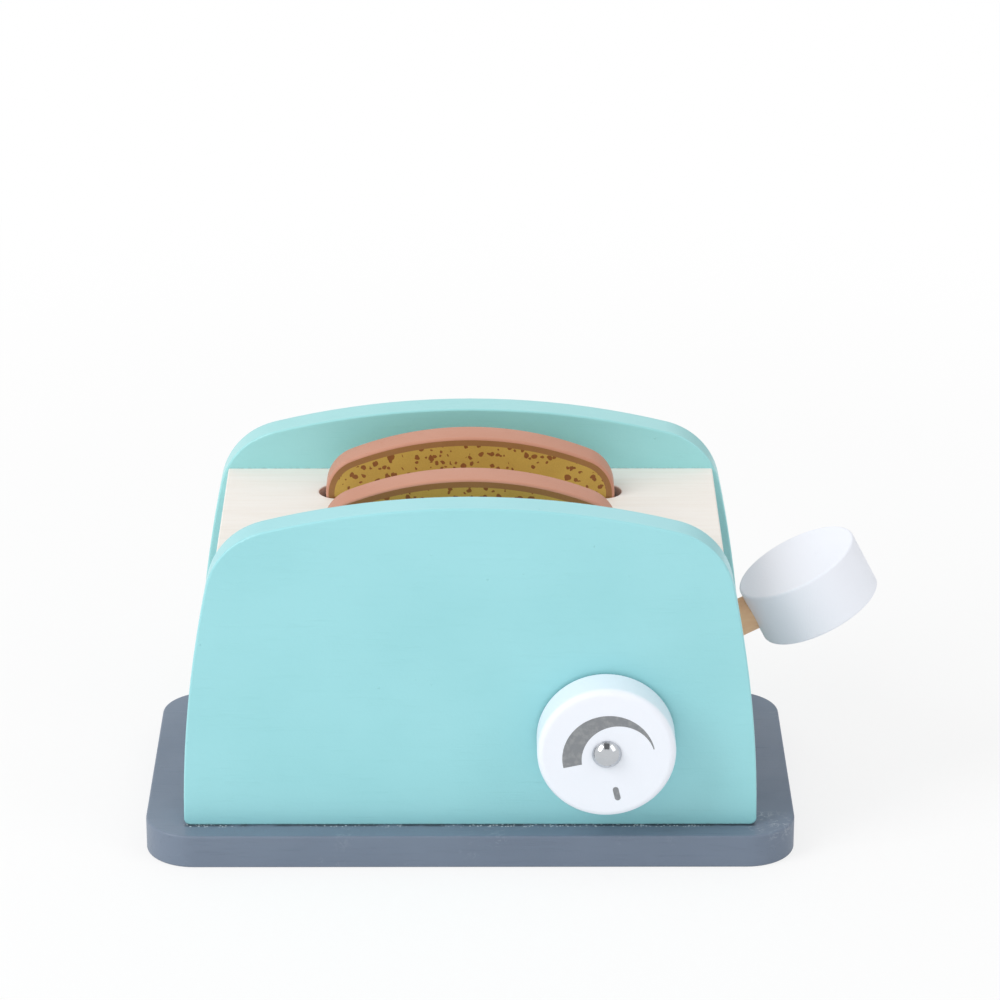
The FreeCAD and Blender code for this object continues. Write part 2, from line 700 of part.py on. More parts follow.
def make_lift_board():
    """A forked board: a prong under each slice and room for the lever's arm between them."""
    body = new_body("lift_board")
    outline = sketch_on(body, "board_outline", "XY_Plane", BOARD_UNDER)
    add_rectangle(outline, "board_length", "board_depth")
    pad(body, "board_pad", outline, "board_thickness")
    fillet(body, "board_corners", "board_corner_radius", runs_along("Z"))
    fork = sketch_on(body, "fork_outline", "XY_Plane", BOARD_TOP)
    beyond = "(board_length / 2 + board_corner_radius)"
    add_rectangle(fork, "%s - %s" % (beyond, FORK_ROOT), "arm_diameter + 2 * fork_side_space",
                  "(%s + %s) / 2" % (beyond, FORK_ROOT), "0")
    pocket(body, "fork", fork)
    grooves = sketch_on(body, "groove_outlines", "XY_Plane", BOARD_TOP)
    for side in ("-1", "1"):
        add_rectangle(grooves, "slice_foot_width + 2 * groove_end_gap",
                      "slice_thickness + 2 * groove_side_gap", "0", "%s * %s" % (side, SLOT_LINE))
    pocket(body, "grooves", grooves, "board_groove_depth")
    posts = sketch_on(body, "board_post_circles", "XY_Plane", BOARD_TOP)
    for x, y in post_places():
        add_circle(posts, "post_diameter / 2 + sliding_gap", x, y)
    pocket(body, "board_post_holes", posts)


# ---------------------------------------------------------------- slices of toast

def draw_slice(sketch):
    """The toast outline: straight sides, hollow necks, round shoulders and a low crown."""
    foot = number(SLICE_FOOT)
    half_foot = number("slice_foot_width / 2")
    lean = math.radians(number("slice_flare"))
    neck = number("slice_neck_radius")
    shoulder = number("slice_shoulder_radius")
    level = foot + number("slice_shoulder_height")
    shoulder_centre = FreeCAD.Vector(number("slice_width / 2") - shoulder, level, 0)
    arch = number("slice_crown_height")
    rise = shoulder + arch
    crown = (shoulder_centre.x ** 2 + rise ** 2 - shoulder ** 2) / (2 * arch)
    crown_centre = FreeCAD.Vector(0, level + rise - crown, 0)
    corner = FreeCAD.Vector(half_foot, foot, 0)
    upward = FreeCAD.Vector(math.sin(lean), math.cos(lean), 0)
    outward = FreeCAD.Vector(math.cos(lean), -math.sin(lean), 0)
    offset = corner + outward * neck - shoulder_centre
    along = offset.dot(upward)
    length = -along - math.sqrt(along ** 2 - offset.dot(offset) + (neck + shoulder) ** 2)
    side_end = corner + upward * length
    neck_centre = side_end + outward * neck
    to_shoulder = angle_to(neck_centre, shoulder_centre)
    to_side = angle_to(neck_centre, side_end)
    if to_side < 0:
        to_side += 2 * math.pi
    from_neck = to_shoulder - math.pi
    high = angle_to(crown_centre, shoulder_centre)
    straight = math.pi
    sketch.addGeometry([
        line((-half_foot, foot), (half_foot, foot)),
        line((corner.x, corner.y), (side_end.x, side_end.y)),
        arc((neck_centre.x, neck_centre.y), neck, to_shoulder, to_side),
        arc((shoulder_centre.x, level), shoulder, from_neck, high),
        arc((0, crown_centre.y), crown, high, straight - high),
        arc((-shoulder_centre.x, level), shoulder, straight - high, straight - from_neck),
        arc((-neck_centre.x, neck_centre.y), neck, straight - to_side, straight - to_shoulder),
        line((-side_end.x, side_end.y), (-corner.x, corner.y)),
    ])
    join(sketch, [((0, 2), (1, 1)), ((7, 2), (0, 1))])
    join(sketch, [((1, 2), (2, 2)), ((2, 1), (3, 1)), ((3, 2), (4, 1)), ((4, 2), (5, 1)),
                  ((5, 2), (6, 2)), ((6, 1), (7, 1))], "Tangent")
    sketch.addConstraint(Sketcher.Constraint("Symmetric", 0, 1, 0, 2, -2))
    sketch.addConstraint(Sketcher.Constraint("Symmetric", 3, 3, 5, 3, -2))
    sketch.addConstraint(Sketcher.Constraint("Equal", 2, 6))
    sketch.addConstraint(Sketcher.Constraint("Equal", 3, 5))
    sketch.addConstraint(Sketcher.Constraint("Equal", 1, 7))
    dimension(sketch, "DistanceX", (0, 1, 0, 2), "foot_width", "slice_foot_width")
    dimension(sketch, "DistanceY", (-1, 1, 0, 1), "foot_level", SLICE_FOOT)
    dimension(sketch, "Radius", (2,), "neck_radius", "slice_neck_radius")
    dimension(sketch, "Radius", (3,), "shoulder_radius", "slice_shoulder_radius")
    dimension(sketch, "DistanceX", (5, 3, 3, 3), "shoulder_spacing",
              "slice_width - 2 * slice_shoulder_radius")
    dimension(sketch, "DistanceY", (0, 1, 3, 3), "shoulder_height", "slice_shoulder_height")
    index = sketch.addConstraint(Sketcher.Constraint("Angle", 1, math.pi / 2 - lean))
    sketch.renameConstraint(index, "side_angle")
    sketch.setExpression("Constraints.side_angle", linked("(90 - slice_flare) * 1 deg"))
    rise_above_foot = " + slice_shoulder_height + slice_shoulder_radius + slice_crown_height"
    add_apex(sketch, 4, SLICE_FOOT + rise_above_foot)


def make_slice(name, side):
    """One slice, standing on the lift board: side 1 is the front slot's, -1 the back slot's."""
    body = new_body(name)
    front = "%s * %s + slice_thickness / 2" % (side, SLOT_LINE)
    outline = sketch_on(body, name + "_outline", "XZ_Plane", front + " - slice_thickness")
    draw_slice(outline)
    pad(body, name + "_pad", outline, "slice_thickness")
    foot = lies_at("Z", SLICE_FOOT)
    across = runs_along("Y")
    fillet(body, name + "_foot", "slice_foot_round", lambda edge: foot(edge) and across(edge))
    faces = ["-1 * (%s)" % front, "-1 * (%s - slice_thickness)" % front]
    fillet(body, name + "_edges", "slice_edge_round", lies_at("Y", *faces))


# ---------------------------------------------------------------- lever

def on_lever(thing):
    """Puts a piece drawn along +X from the pivot on the tilted lever."""
    place(thing, PIVOT_X, "0", PIVOT_Z, (0, -1, 0), "lever_tilt")


def make_lever_arm():
    """A round dowel from under the slices, over the pin and into the knob."""
    body = new_body("lever_arm")
    outline = sketch_on(body, "arm_circle", "YZ_Plane", "-1 * " + ARM_INNER_REACH)
    add_circle(outline, "arm_diameter / 2")
    pad(body, "arm_pad", outline, ARM_INNER_REACH + " + " + ARM_OUTER_REACH)
    ends = lies_at("X", "-1 * " + ARM_INNER_REACH, ARM_OUTER_REACH)
    fillet(body, "arm_ends", "arm_end_round", ends)
    holes = sketch_on(body, "arm_cross_circles", "XZ_Plane", "arm_diameter")
    add_circle(holes, "pin_diameter / 2 + running_gap")
    add_circle(holes, "bar_diameter / 2 + glue_gap", "-bar_reach", "0")
    pocket(body, "arm_cross_holes", holes)
    on_lever(body)


def make_lever_knob():
    """A thick disc; the arm goes into its rim."""
    body = new_body("lever_knob")
    outline = sketch_on(body, "knob_circle", "XY_Plane", "-knob_thickness / 2")
    add_circle(outline, "knob_diameter / 2", "knob_reach", "0")
    pad(body, "knob_pad", outline, "knob_thickness")
    faces = lies_at("Z", "knob_thickness / 2", "-knob_thickness / 2")
    fillet(body, "knob_edges", "knob_edge_round", faces)
    socket = sketch_on(body, "knob_socket_circle", "YZ_Plane")
    add_circle(socket, "arm_diameter / 2 + glue_gap")
    pocket(body, "knob_socket", socket, ARM_OUTER_REACH + " + seat_gap", True)
    on_lever(body)


def make_lift_bar():
    """The cross dowel at the lever's inner end that carries the lift board."""
    bar = rod("lift_bar_rod", "bar_diameter / 2", "bar_length",
              BAR_X, "-bar_length / 2", BAR_Z, "Y")
    bar.Label = "lift_bar"
    NODES.append(bar)


def make_pivot_pin():
    """The steel pin across the right end wall, held in by the two panels."""
    pin = rod("pivot_pin_rod", "pin_diameter / 2", "panel_gap - 2 * seat_gap",
              PIVOT_X, "-%s + seat_gap" % PANEL_INSIDE, PIVOT_Z, "Y")
    pin.Label = "pivot_pin"
    NODES.append(pin)


def make_rest_pad():
    """The block that the lever's inner end comes to rest on."""
    rest = box("rest_block", "rest_pad_length", "rest_pad_width", "rest_pad_height",
               ARM_END_X + " - rest_pad_length / 2", "-rest_pad_width / 2", BODY_FOOT)
    rest.Label = "lever_rest_pad"
    NODES.append(rest)


# ---------------------------------------------------------------- dial

def make_dial():
    """A white disc that turns on its screw."""
    body = new_body("dial")
    outline = sketch_on(body, "dial_circles", "XZ_Plane", DIAL_BACK)
    add_circle(outline, "dial_diameter / 2", DIAL_X, DIAL_Z)
    add_circle(outline, "dial_screw_diameter / 2 + running_gap", DIAL_X, DIAL_Z)
    pad(body, "dial_pad", outline, "dial_thickness")
    rim = number("dial_diameter / 2")

    def round_rim(name, radius, face):
        level = lies_at("Y", "-1 * " + face)
        fillet(body, name, radius, lambda edge: level(edge) and edge.BoundBox.XLength > rim)
    round_rim("dial_front_edge", "dial_face_round", DIAL_FACE)
    round_rim("dial_back_edge", "dial_back_round", DIAL_BACK)


def make_dial_screw():
    """The domed screw in the dial's middle, drawn upright and laid along -Y."""
    body = new_body("dial_screw")
    profile = sketch_on(body, "dial_screw_profile", "XZ_Plane")
    head = number("dial_screw_head_diameter / 2")
    high = number("dial_screw_head_height")
    shank = number("dial_screw_diameter / 2")
    depth = number(DIAL_SHANK)
    dome = (head ** 2 + high ** 2) / (2 * high)
    rim = math.asin(min(head / dome, 1.0))
    profile.addGeometry([
        line((0, -depth), (shank, -depth)),
        line((shank, -depth), (shank, 0)),
        line((shank, 0), (head, 0)),
        arc((0, high - dome), dome, math.pi / 2 - rim, math.pi / 2),
        line((0, high), (0, -depth)),
    ])
    join(profile, [((0, 2), (1, 1)), ((1, 2), (2, 1)), ((2, 2), (3, 1))])
    join(profile, [((3, 2), (4, 1)), ((4, 2), (0, 1))])
    for flat in (0, 2):
        profile.addConstraint(Sketcher.Constraint("Horizontal", flat))
    profile.addConstraint(Sketcher.Constraint("Vertical", 1))
    profile.addConstraint(Sketcher.Constraint("PointOnObject", 4, 1, -2))
    profile.addConstraint(Sketcher.Constraint("PointOnObject", 4, 2, -2))
    profile.addConstraint(Sketcher.Constraint("PointOnObject", 3, 3, -2))
    profile.addConstraint(Sketcher.Constraint("PointOnObject", 2, 1, -1))
    dimension(profile, "DistanceX", (0, 1, 0, 2), "shank_radius", "dial_screw_diameter / 2")
    dimension(profile, "DistanceY", (1, 1, 1, 2), "shank_length", DIAL_SHANK)
    dimension(profile, "DistanceX", (-1, 1, 2, 2), "head_radius", "dial_screw_head_diameter / 2")
    dimension(profile, "DistanceY", (-1, 1, 4, 1), "head_height", "dial_screw_head_height")
    revolve(body, "dial_screw_turned", profile)
    place(body, DIAL_X, "-1 * (%s + seat_gap)" % DIAL_FACE, DIAL_Z, (1, 0, 0), "90")


def make_dial_washer():
    """The thin washer that keeps the dial off the paint."""
    disc = rod("washer_disc", "dial_washer_diameter / 2", "dial_washer_thickness",
               DIAL_X, "-1 * " + WASHER_FACE, DIAL_Z, "Y")
    hole = rod("washer_hole", "dial_screw_diameter / 2 + glue_gap", "dial_washer_thickness",
               DIAL_X, "-1 * " + WASHER_FACE, DIAL_Z, "Y")
    washer = DOC.addObject("Part::Cut", "washer_ring")
    washer.Base = disc
    washer.Tool = hole
    washer.Label = "dial_washer"
    NODES.append(washer)


# ---------------------------------------------------------------- check and write

def check_document():
    """Stops if any object failed or any node's shape is missing or broken."""
    for thing in DOC.Objects:
        if "Invalid" in thing.State or "Error" in thing.State:
            raise RuntimeError("%s failed: %s" % (thing.Name, thing.State))
    for node in NODES:
        if node.Shape.isNull() or not node.Shape.isValid():
            raise RuntimeError("%s has no valid shape" % node.Label)


def write_steps():
    os.makedirs("parts", exist_ok=True)
    for node in NODES:
        node.Shape.exportStep("parts/%s.step" % node.Label)
        print("%-20s %2d solids %9.1f mm3" % (node.Label, len(node.Shape.Solids), node.Shape.Volume))


fill_sheet()
make_base()
make_base_screws()
make_panels()
make_panel_dowels()
make_end_walls()
make_top_plate()
make_plate_dowels()
make_guide_posts()
make_lift_board()
make_slice("front_slice", "1")
make_slice("back_slice", "-1")
make_lever_arm()
make_lever_knob()
make_lift_bar()
make_pivot_pin()
make_rest_pad()
make_dial()
make_dial_screw()
make_dial_washer()
DOC.recompute()
check_document()
write_steps()
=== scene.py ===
# %% [markdown]
# # A wooden toy toaster, from bare pieces to a finished picture
#
# The wooden pieces come ready made, each in its own place: +X points towards the lever, -Y
# towards the dial, +Z up, and every length is in metres. This lesson gives them their paint,
# prints and grain, makes the two slices of toast and the dial's marks as new meshes, and sets
# up the light and the camera. The ready-made pieces are never moved or reshaped.

# %% Load the pieces
import bmesh
import bpy
import math
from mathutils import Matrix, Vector


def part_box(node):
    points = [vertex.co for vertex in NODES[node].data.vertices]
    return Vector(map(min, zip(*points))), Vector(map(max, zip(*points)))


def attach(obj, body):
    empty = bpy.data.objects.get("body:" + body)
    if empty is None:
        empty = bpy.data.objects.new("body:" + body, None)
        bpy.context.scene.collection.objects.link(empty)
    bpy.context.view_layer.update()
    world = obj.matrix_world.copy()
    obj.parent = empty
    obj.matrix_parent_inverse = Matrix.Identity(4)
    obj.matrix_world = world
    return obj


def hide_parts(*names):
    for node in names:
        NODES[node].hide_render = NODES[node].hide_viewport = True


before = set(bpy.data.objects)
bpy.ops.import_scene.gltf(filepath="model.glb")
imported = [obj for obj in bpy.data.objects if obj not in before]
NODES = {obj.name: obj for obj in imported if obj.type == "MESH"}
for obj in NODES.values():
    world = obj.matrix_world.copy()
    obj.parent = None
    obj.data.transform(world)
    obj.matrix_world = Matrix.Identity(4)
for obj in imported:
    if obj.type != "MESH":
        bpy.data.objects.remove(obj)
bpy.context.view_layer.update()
MM = 0.001

# %% [markdown]
# ## The camera
#
# A toy of this size can fill the frame from close by, with a short lens, or from far off, with
# a long one. A long lens a little over a metre away keeps the boards' edges nearly parallel,
# as in a catalogue picture. The camera could be aimed by a constraint, but three turns written
# as numbers stay put. It looks down by 22 degrees. A turn about X of 90 degrees would look
# level, so the tilt is taken off that. Depth of field stays off: everything is sharp.

# %% Set the camera
CAMERA_PLACE = (0.002534, -1.1805, 0.57385)
CAMERA_DOWN = 22.0
CAMERA_ROLL = -0.0772
CAMERA_TURN = -0.2826
LENS = 151.8

camera_data = bpy.data.cameras.new("camera")
camera_data.lens = LENS
camera = bpy.data.objects.new("camera", camera_data)
camera.location = CAMERA_PLACE
camera.rotation_euler = [math.radians(turn) for turn in (90 - CAMERA_DOWN, CAMERA_ROLL, CAMERA_TURN)]
bpy.context.scene.collection.objects.link(camera)
bpy.context.scene.camera = camera
bpy.context.scene.view_settings.view_transform = "Standard"
print("camera:", LENS, "mm lens,", round(Vector(CAMERA_PLACE).length, 2), "m away")

# %% [markdown]
# ## Shorthand for wiring nodes
#
# A material is a small graph. Written out in full, every node takes three or four lines, and
# the idea drowns in them. So a few helpers come first: one adds a node and fills its sockets,
# with plain values or with links, and the others are the nodes that turn up all the time.

# %% Helpers: colours and nodes
def rgb(red, green, blue):
    """A screen colour from 0 to 255, as the light values that Blender counts in."""
    def linear(level):
        """One channel, from the screen's scale to the light's."""
        share = level / 255
        return share / 12.92 if share <= 0.04045 else ((share + 0.055) / 1.055) ** 2.4
    return (linear(red), linear(green), linear(blue), 1.0)


def add(tree, kind, sockets=None, **settings):
    """A node with its settings; each socket gets a value, or a link from another socket."""
    node = tree.nodes.new("ShaderNode" + kind)
    for name, value in settings.items():
        setattr(node, name, value)
    for name, value in (sockets or {}).items():
        if isinstance(value, bpy.types.NodeSocket):
            tree.links.new(value, node.inputs[name])
        else:
            node.inputs[name].default_value = value
    return node


print("a grey of 128 on the screen is", round(rgb(128, 128, 128)[0], 3), "of full light")

# %% Helpers: sums and soft steps
def calc(tree, operation, *values):
    """One sum on plain numbers or sockets."""
    return add(tree, "Math", dict(enumerate(values)), operation=operation).outputs[0]


def times(tree, first, *others):
    """Masks and weights multiplied together, one after the other."""
    for other in others:
        first = calc(tree, "MULTIPLY", first, other)
    return first


def ramp(tree, value, low, high, start=0.0, end=1.0):
    """A soft step: start where the value is under low, end where it is over high."""
    sockets = {"Value": value, "From Min": low, "From Max": high, "To Min": start, "To Max": end}
    return add(tree, "MapRange", sockets, interpolation_type="SMOOTHSTEP").outputs[0]


def fade(tree, value, low, high):
    """A soft step down: 1 where the value is under low, 0 where it is over high."""
    return ramp(tree, value, low, high, 1.0, 0.0)


print("for sums:", [helper.__name__ for helper in (calc, times, ramp, fade)])

# %% Helpers: patterns
def mix(tree, share, first, second):
    """A colour between two colours."""
    node = add(tree, "Mix", {0: share, 6: first, 7: second}, data_type="RGBA")
    return node.outputs[2]


def noise(tree, vector, scale, detail=2.0, roughness=0.5):
    """Soft clouds from 0 to 1; scale is how many fit in a metre, detail adds smaller ones."""
    sockets = {"Vector": vector, "Scale": scale, "Detail": detail, "Roughness": roughness}
    return add(tree, "TexNoise", sockets).outputs[0]


def scatter(tree, vector, scale, **settings):
    """Scattered points: the distance to the nearest one, and each one's random numbers."""
    cells = add(tree, "TexVoronoi", {"Vector": vector, "Scale": scale}, **settings)
    chances = add(tree, "SeparateColor", {0: cells.outputs["Color"]}).outputs
    return cells.outputs["Distance"], chances


def stretched(tree, vector, scales):
    """The same place, scaled along each axis: a small number draws a pattern out that way."""
    node = add(tree, "VectorMath", {0: vector, 1: scales}, operation="MULTIPLY")
    return node.outputs[0]


def here(tree):
    """The place on the piece itself, in metres, which travels with the piece when it moves."""
    return add(tree, "TexCoord").outputs["Object"]


print("for patterns:", [helper.__name__ for helper in (mix, noise, scatter, stretched, here)])

# %% [markdown]
# ## Shared finishes are node groups
#
# Paint, grain and worn edges turn up on many pieces. Their nodes could be copied into every
# material, but then a change has to be made in every copy. Each is built once, as a group with
# named sockets, and then placed in the materials with values of its own. A group gives only
# patterns: colours, masks and heights. The shader itself stays in the material.

# %% Helpers: groups
SOCKET_KINDS = {1: "NodeSocketFloat", 3: "NodeSocketVector", 4: "NodeSocketColor"}


def new_group(name, inputs, outputs):
    """An empty group. Inputs are name: start value, and the value's form gives the socket's kind."""
    tree = bpy.data.node_groups.new(name, "ShaderNodeTree")
    for label, start in inputs.items():
        kind = SOCKET_KINDS[1 if isinstance(start, float) else len(start)]
        socket = tree.interface.new_socket(label, in_out="INPUT", socket_type=kind)
        socket.default_value = start
    for label in outputs:
        kind = SOCKET_KINDS[4 if label == "Color" else 1]
        tree.interface.new_socket(label, in_out="OUTPUT", socket_type=kind)
    given = tree.nodes.new("NodeGroupInput").outputs
    made = tree.nodes.new("NodeGroupOutput").inputs
    return tree, given, made


def use(tree, group, **values):
    """Places a group in a material; a name such as deep_paint fills the socket Deep Paint."""
    node = tree.nodes.new("ShaderNodeGroup")
    node.node_tree = group
    for name, value in values.items():
        socket = node.inputs[name.replace("_", " ").title()]
        if isinstance(value, bpy.types.NodeSocket):
            tree.links.new(value, socket)
        else:
            socket.default_value = value
    return node.outputs


print("a group's sockets can be:", sorted(SOCKET_KINDS.values()))

# %% [markdown]
# ## The paint film
#
# The boards are sprayed with water-based paint and rubbed down once. Seen closely such a film
# is not flat: it is a touch thicker in some places, the wood's fibres draw fine lines through
# it, it has a faint orange-peel skin, and a few grains of dust dried in it. One flat colour
# would look like plastic, and a picture of paint would have to be wrapped round every board.
# Noise fills space and needs no wrapping, so the film is mixed from noises, each with a gentle
# weight of its own, because all of this is small next to the colour.

# %% Group: paint film
CLOUD_SCALE = 26.0
DRIFT_SCALE = 7.0
PAINT_FIBRE_SCALE = 6.0
PEEL_SCALE = 1100.0
NIB_SCALE = 190.0
PAINT_TINTS = {"fibres": 0.35, "nibs": 0.25}
PAINT_DULLING = {"fibres": 0.08, "clouds": 0.25}
PAINT_HEIGHTS = {"fibres": -0.5, "nibs": 0.8, "peel": 0.22}


def make_paint_film():
    """Colour, roughness and height of sprayed paint over wood."""
    inputs = {"Paint": (0.8, 0.8, 0.8, 1.0), "Deep Paint": (0.7, 0.7, 0.7, 1.0), "Mottle": 0.5,
              "Stretch": (12.0, 220.0, 220.0), "Fibre": 0.4, "Sheen": 0.42}
    tree, given, made = new_group("paint film", inputs, ["Color", "Roughness", "Height"])
    place = here(tree)
    clouds = noise(tree, place, CLOUD_SCALE, 3.0)
    drift = noise(tree, place, DRIFT_SCALE, 1.0)
    depth = calc(tree, "MULTIPLY_ADD", drift, 0.5, times(tree, clouds, 0.5))
    fibres = noise(tree, stretched(tree, place, given["Stretch"]), PAINT_FIBRE_SCALE, 4.0, 0.65)
    peel = noise(tree, place, PEEL_SCALE, 1.0)
    distance, chances = scatter(tree, place, NIB_SCALE)
    nibs = times(tree, fade(tree, distance, 0.04, 0.085), ramp(tree, chances[0], 0.80, 0.82))
    lines = times(tree, ramp(tree, fibres, 0.52, 0.75), given["Fibre"])
    share = times(tree, ramp(tree, depth, 0.36, 0.66), given["Mottle"])
    share = calc(tree, "MULTIPLY_ADD", lines, PAINT_TINTS["fibres"], share)
    share = calc(tree, "MULTIPLY_ADD", nibs, PAINT_TINTS["nibs"], share)
    tree.links.new(mix(tree, share, given["Paint"], given["Deep Paint"]), made["Color"])
    uneven = calc(tree, "SUBTRACT", clouds, 0.5)
    dull = calc(tree, "MULTIPLY_ADD", uneven, PAINT_DULLING["clouds"], given["Sheen"])
    dull = calc(tree, "MULTIPLY_ADD", lines, PAINT_DULLING["fibres"], dull)
    tree.links.new(dull, made["Roughness"])
    height = times(tree, peel, PAINT_HEIGHTS["peel"])
    height = calc(tree, "MULTIPLY_ADD", lines, PAINT_HEIGHTS["fibres"], height)
    height = calc(tree, "MULTIPLY_ADD", nibs, PAINT_HEIGHTS["nibs"], height)
    tree.links.new(height, made["Height"])
    return tree


PAINT_FILM = make_paint_film()
print("group:", PAINT_FILM.name, "with", len(PAINT_FILM.nodes), "nodes")

# %% [markdown]
# ## Rubbed edges and painted highlights
#
# On a rounded edge the paint runs thin and rubs off first, and light catches it there, so the edges are
# made paler: a painted highlight, with a little wear. The paleness could be painted on by hand, or read
# from how pointed the mesh is, which takes a very fine mesh. A Bevel node works on any mesh: it gives
# the normal that a softer edge would have. Where that differs from the real normal there is an edge, so
# the difference is a mask, and noise breaks it up.

# %% Group: rubbed edges
FEELER_RAYS = 6


def make_rubbed_edges_and_highlights():
    """A mask of the edges that a softer edge of some width would round off."""
    inputs = {"Width": 1.2 * MM, "Amount": 0.5, "Breakup": 160.0}
    tree, given, made = new_group("rubbed edges and highlights", inputs, ["Mask"])
    soft = add(tree, "Bevel", {"Radius": given["Width"]}, samples=FEELER_RAYS).outputs[0]
    true = add(tree, "NewGeometry").outputs["Normal"]
    alike = add(tree, "VectorMath", {0: soft, 1: true}, operation="DOT_PRODUCT").outputs["Value"]
    edge = fade(tree, alike, 0.80, 0.985)
    patches = ramp(tree, noise(tree, here(tree), given["Breakup"], 3.0), 0.38, 0.62)
    tree.links.new(times(tree, edge, patches, given["Amount"]), made["Mask"])
    return tree


RUBBED_EDGES_AND_HIGHLIGHTS = make_rubbed_edges_and_highlights()
print("group:", RUBBED_EDGES_AND_HIGHLIGHTS.name, "with", len(RUBBED_EDGES_AND_HIGHLIGHTS.nodes), "nodes")

# %% [markdown]
# ## Dust and painted shade in the corners
#
# Dust and wax settle where a cloth can't reach, along the joint between two boards, and the same
# closed-in places lie in shade. The mask darkens them for both: dust, and painted shade. It could be
# painted in, joint by joint. Ambient occlusion measures how closed in a place is, and that is just such
# a mask, for every joint at once.

# %% Group: corner dust
DUST_AND_SHADE_GRAIN_SCALE = 900.0


def make_corner_dust_and_shade():
    """A grainy mask of the places that other surfaces close in within some reach."""
    inputs = {"Reach": 1.5 * MM, "Amount": 0.5}
    tree, given, made = new_group("corner dust and shade", inputs, ["Mask"])
    feeler = add(tree, "AmbientOcclusion", {"Distance": given["Reach"]}, samples=FEELER_RAYS)
    closed = fade(tree, feeler.outputs["AO"], 0.35, 0.85)
    grains = ramp(tree, noise(tree, here(tree), DUST_AND_SHADE_GRAIN_SCALE, 3.0), 0.40, 0.62)
    tree.links.new(times(tree, closed, grains, given["Amount"]), made["Mask"])
    return tree


CORNER_DUST_AND_SHADE = make_corner_dust_and_shade()
print("group:", CORNER_DUST_AND_SHADE.name, "with", len(CORNER_DUST_AND_SHADE.nodes), "nodes")

# %% [markdown]
# ## Wood grain
#
# The unpainted pieces are pale beech. Its growth rings show as soft bands drawn out along the
# board, with fine fibres and the short dark flecks that tell beech from other pale woods. A
# picture of a board would show the same knots on every piece. Here the bands are the contour
# lines of a stretched noise. They wander as real ones do, and each piece cuts them elsewhere.

# %% Group: wood grain
RING_SCALE = 0.55
RING_CROWD = 60.0
WOOD_FIBRE_SCALE = 9.0
FLECK_SCALE = 16.0
WOOD_TINTS = {"fibres": 0.35, "rings": 0.55}
WOOD_HEIGHTS = {"fibres": -0.4, "flecks": -0.6}
FIBRE_DULLING = 0.10


def make_wood_grain():
    """Colour, roughness and height of planed beech."""
    inputs = {"Pale": (0.7, 0.6, 0.45, 1.0), "Dark": (0.5, 0.38, 0.25, 1.0),
              "Stretch": (4.0, 60.0, 60.0), "Rings": 0.5, "Flecks": 0.5, "Sheen": 0.6}
    tree, given, made = new_group("wood grain", inputs, ["Color", "Roughness", "Height"])
    place = stretched(tree, here(tree), given["Stretch"])
    wander = noise(tree, place, RING_SCALE, 2.0, 0.4)
    turns = calc(tree, "SINE", times(tree, wander, RING_CROWD))
    rings = times(tree, ramp(tree, turns, -0.6, 1.0), given["Rings"])
    fine = ramp(tree, noise(tree, place, WOOD_FIBRE_SCALE, 4.0, 0.7), 0.35, 0.75)
    distance, chances = scatter(tree, place, FLECK_SCALE)
    near = fade(tree, distance, 0.10, 0.20)
    flecks = times(tree, near, ramp(tree, chances[0], 0.55, 0.60), given["Flecks"])
    share = times(tree, rings, WOOD_TINTS["rings"])
    share = calc(tree, "MULTIPLY_ADD", fine, WOOD_TINTS["fibres"], share)
    share = calc(tree, "ADD", share, flecks)
    tree.links.new(mix(tree, share, given["Pale"], given["Dark"]), made["Color"])
    tree.links.new(calc(tree, "MULTIPLY_ADD", fine, FIBRE_DULLING, given["Sheen"]), made["Roughness"])
    height = times(tree, fine, WOOD_HEIGHTS["fibres"])
    height = calc(tree, "MULTIPLY_ADD", flecks, WOOD_HEIGHTS["flecks"], height)
    tree.links.new(height, made["Height"])
    return tree


WOOD_GRAIN = make_wood_grain()
print("group:", WOOD_GRAIN.name, "with", len(WOOD_GRAIN.nodes), "nodes")

# %% [markdown]
# ## Light scuffs
#
# A toy knocks into things with its corners and gets a scribble of thin, pale marks there. They
# could be modelled as hairs or drawn on an image. Noise does it without either: where it
# crosses its middle value it draws thin, wandering lines. A second, stretched noise adds short
# straight strokes, and a middle and a reach say where most of the marks are.

# %% Group: scuffs
STROKE_SLANT = math.radians(-28)
STROKE_STRETCH = (220.0, 1500.0, 1500.0)
SCRIBBLE_SCALE = 330.0
BREAK_SCALE = 150.0
STRAY_SCALE = 60.0
STRAY_SHARE = 0.25


def make_scuffs():
    """A mask of thin marks: most within reach of a middle, a few strays elsewhere."""
    inputs = {"Middle": (0.0, 0.0, 0.0), "Reach": 0.02, "Amount": 0.5}
    tree, given, made = new_group("scuffs", inputs, ["Mask"])
    place = here(tree)
    slant = add(tree, "VectorRotate", {"Vector": place, "Angle": STROKE_SLANT},
                rotation_type="Z_AXIS").outputs[0]
    strokes = ramp(tree, noise(tree, stretched(tree, slant, STROKE_STRETCH), 1.0, 2.0), 0.58, 0.70)
    off_middle = calc(tree, "SUBTRACT", noise(tree, place, SCRIBBLE_SCALE, 3.0), 0.5)
    scribble = fade(tree, calc(tree, "ABSOLUTE", off_middle), 0.004, 0.035)
    thin = calc(tree, "MAXIMUM", scribble, strokes)
    broken = ramp(tree, noise(tree, place, BREAK_SCALE, 3.0), 0.40, 0.62)
    strays = ramp(tree, noise(tree, place, STRAY_SCALE, 2.0), 0.56, 0.68, 0.0, STRAY_SHARE)
    away = add(tree, "VectorMath", {0: place, 1: given["Middle"]}, operation="DISTANCE")
    near = fade(tree, calc(tree, "DIVIDE", away.outputs["Value"], given["Reach"]), 0.35, 1.0)
    where = calc(tree, "MAXIMUM", near, strays)
    tree.links.new(times(tree, thin, broken, where, given["Amount"]), made["Mask"])
    return tree


SCUFFS = make_scuffs()
print("group:", SCUFFS.name, "with", len(SCUFFS.nodes), "nodes")
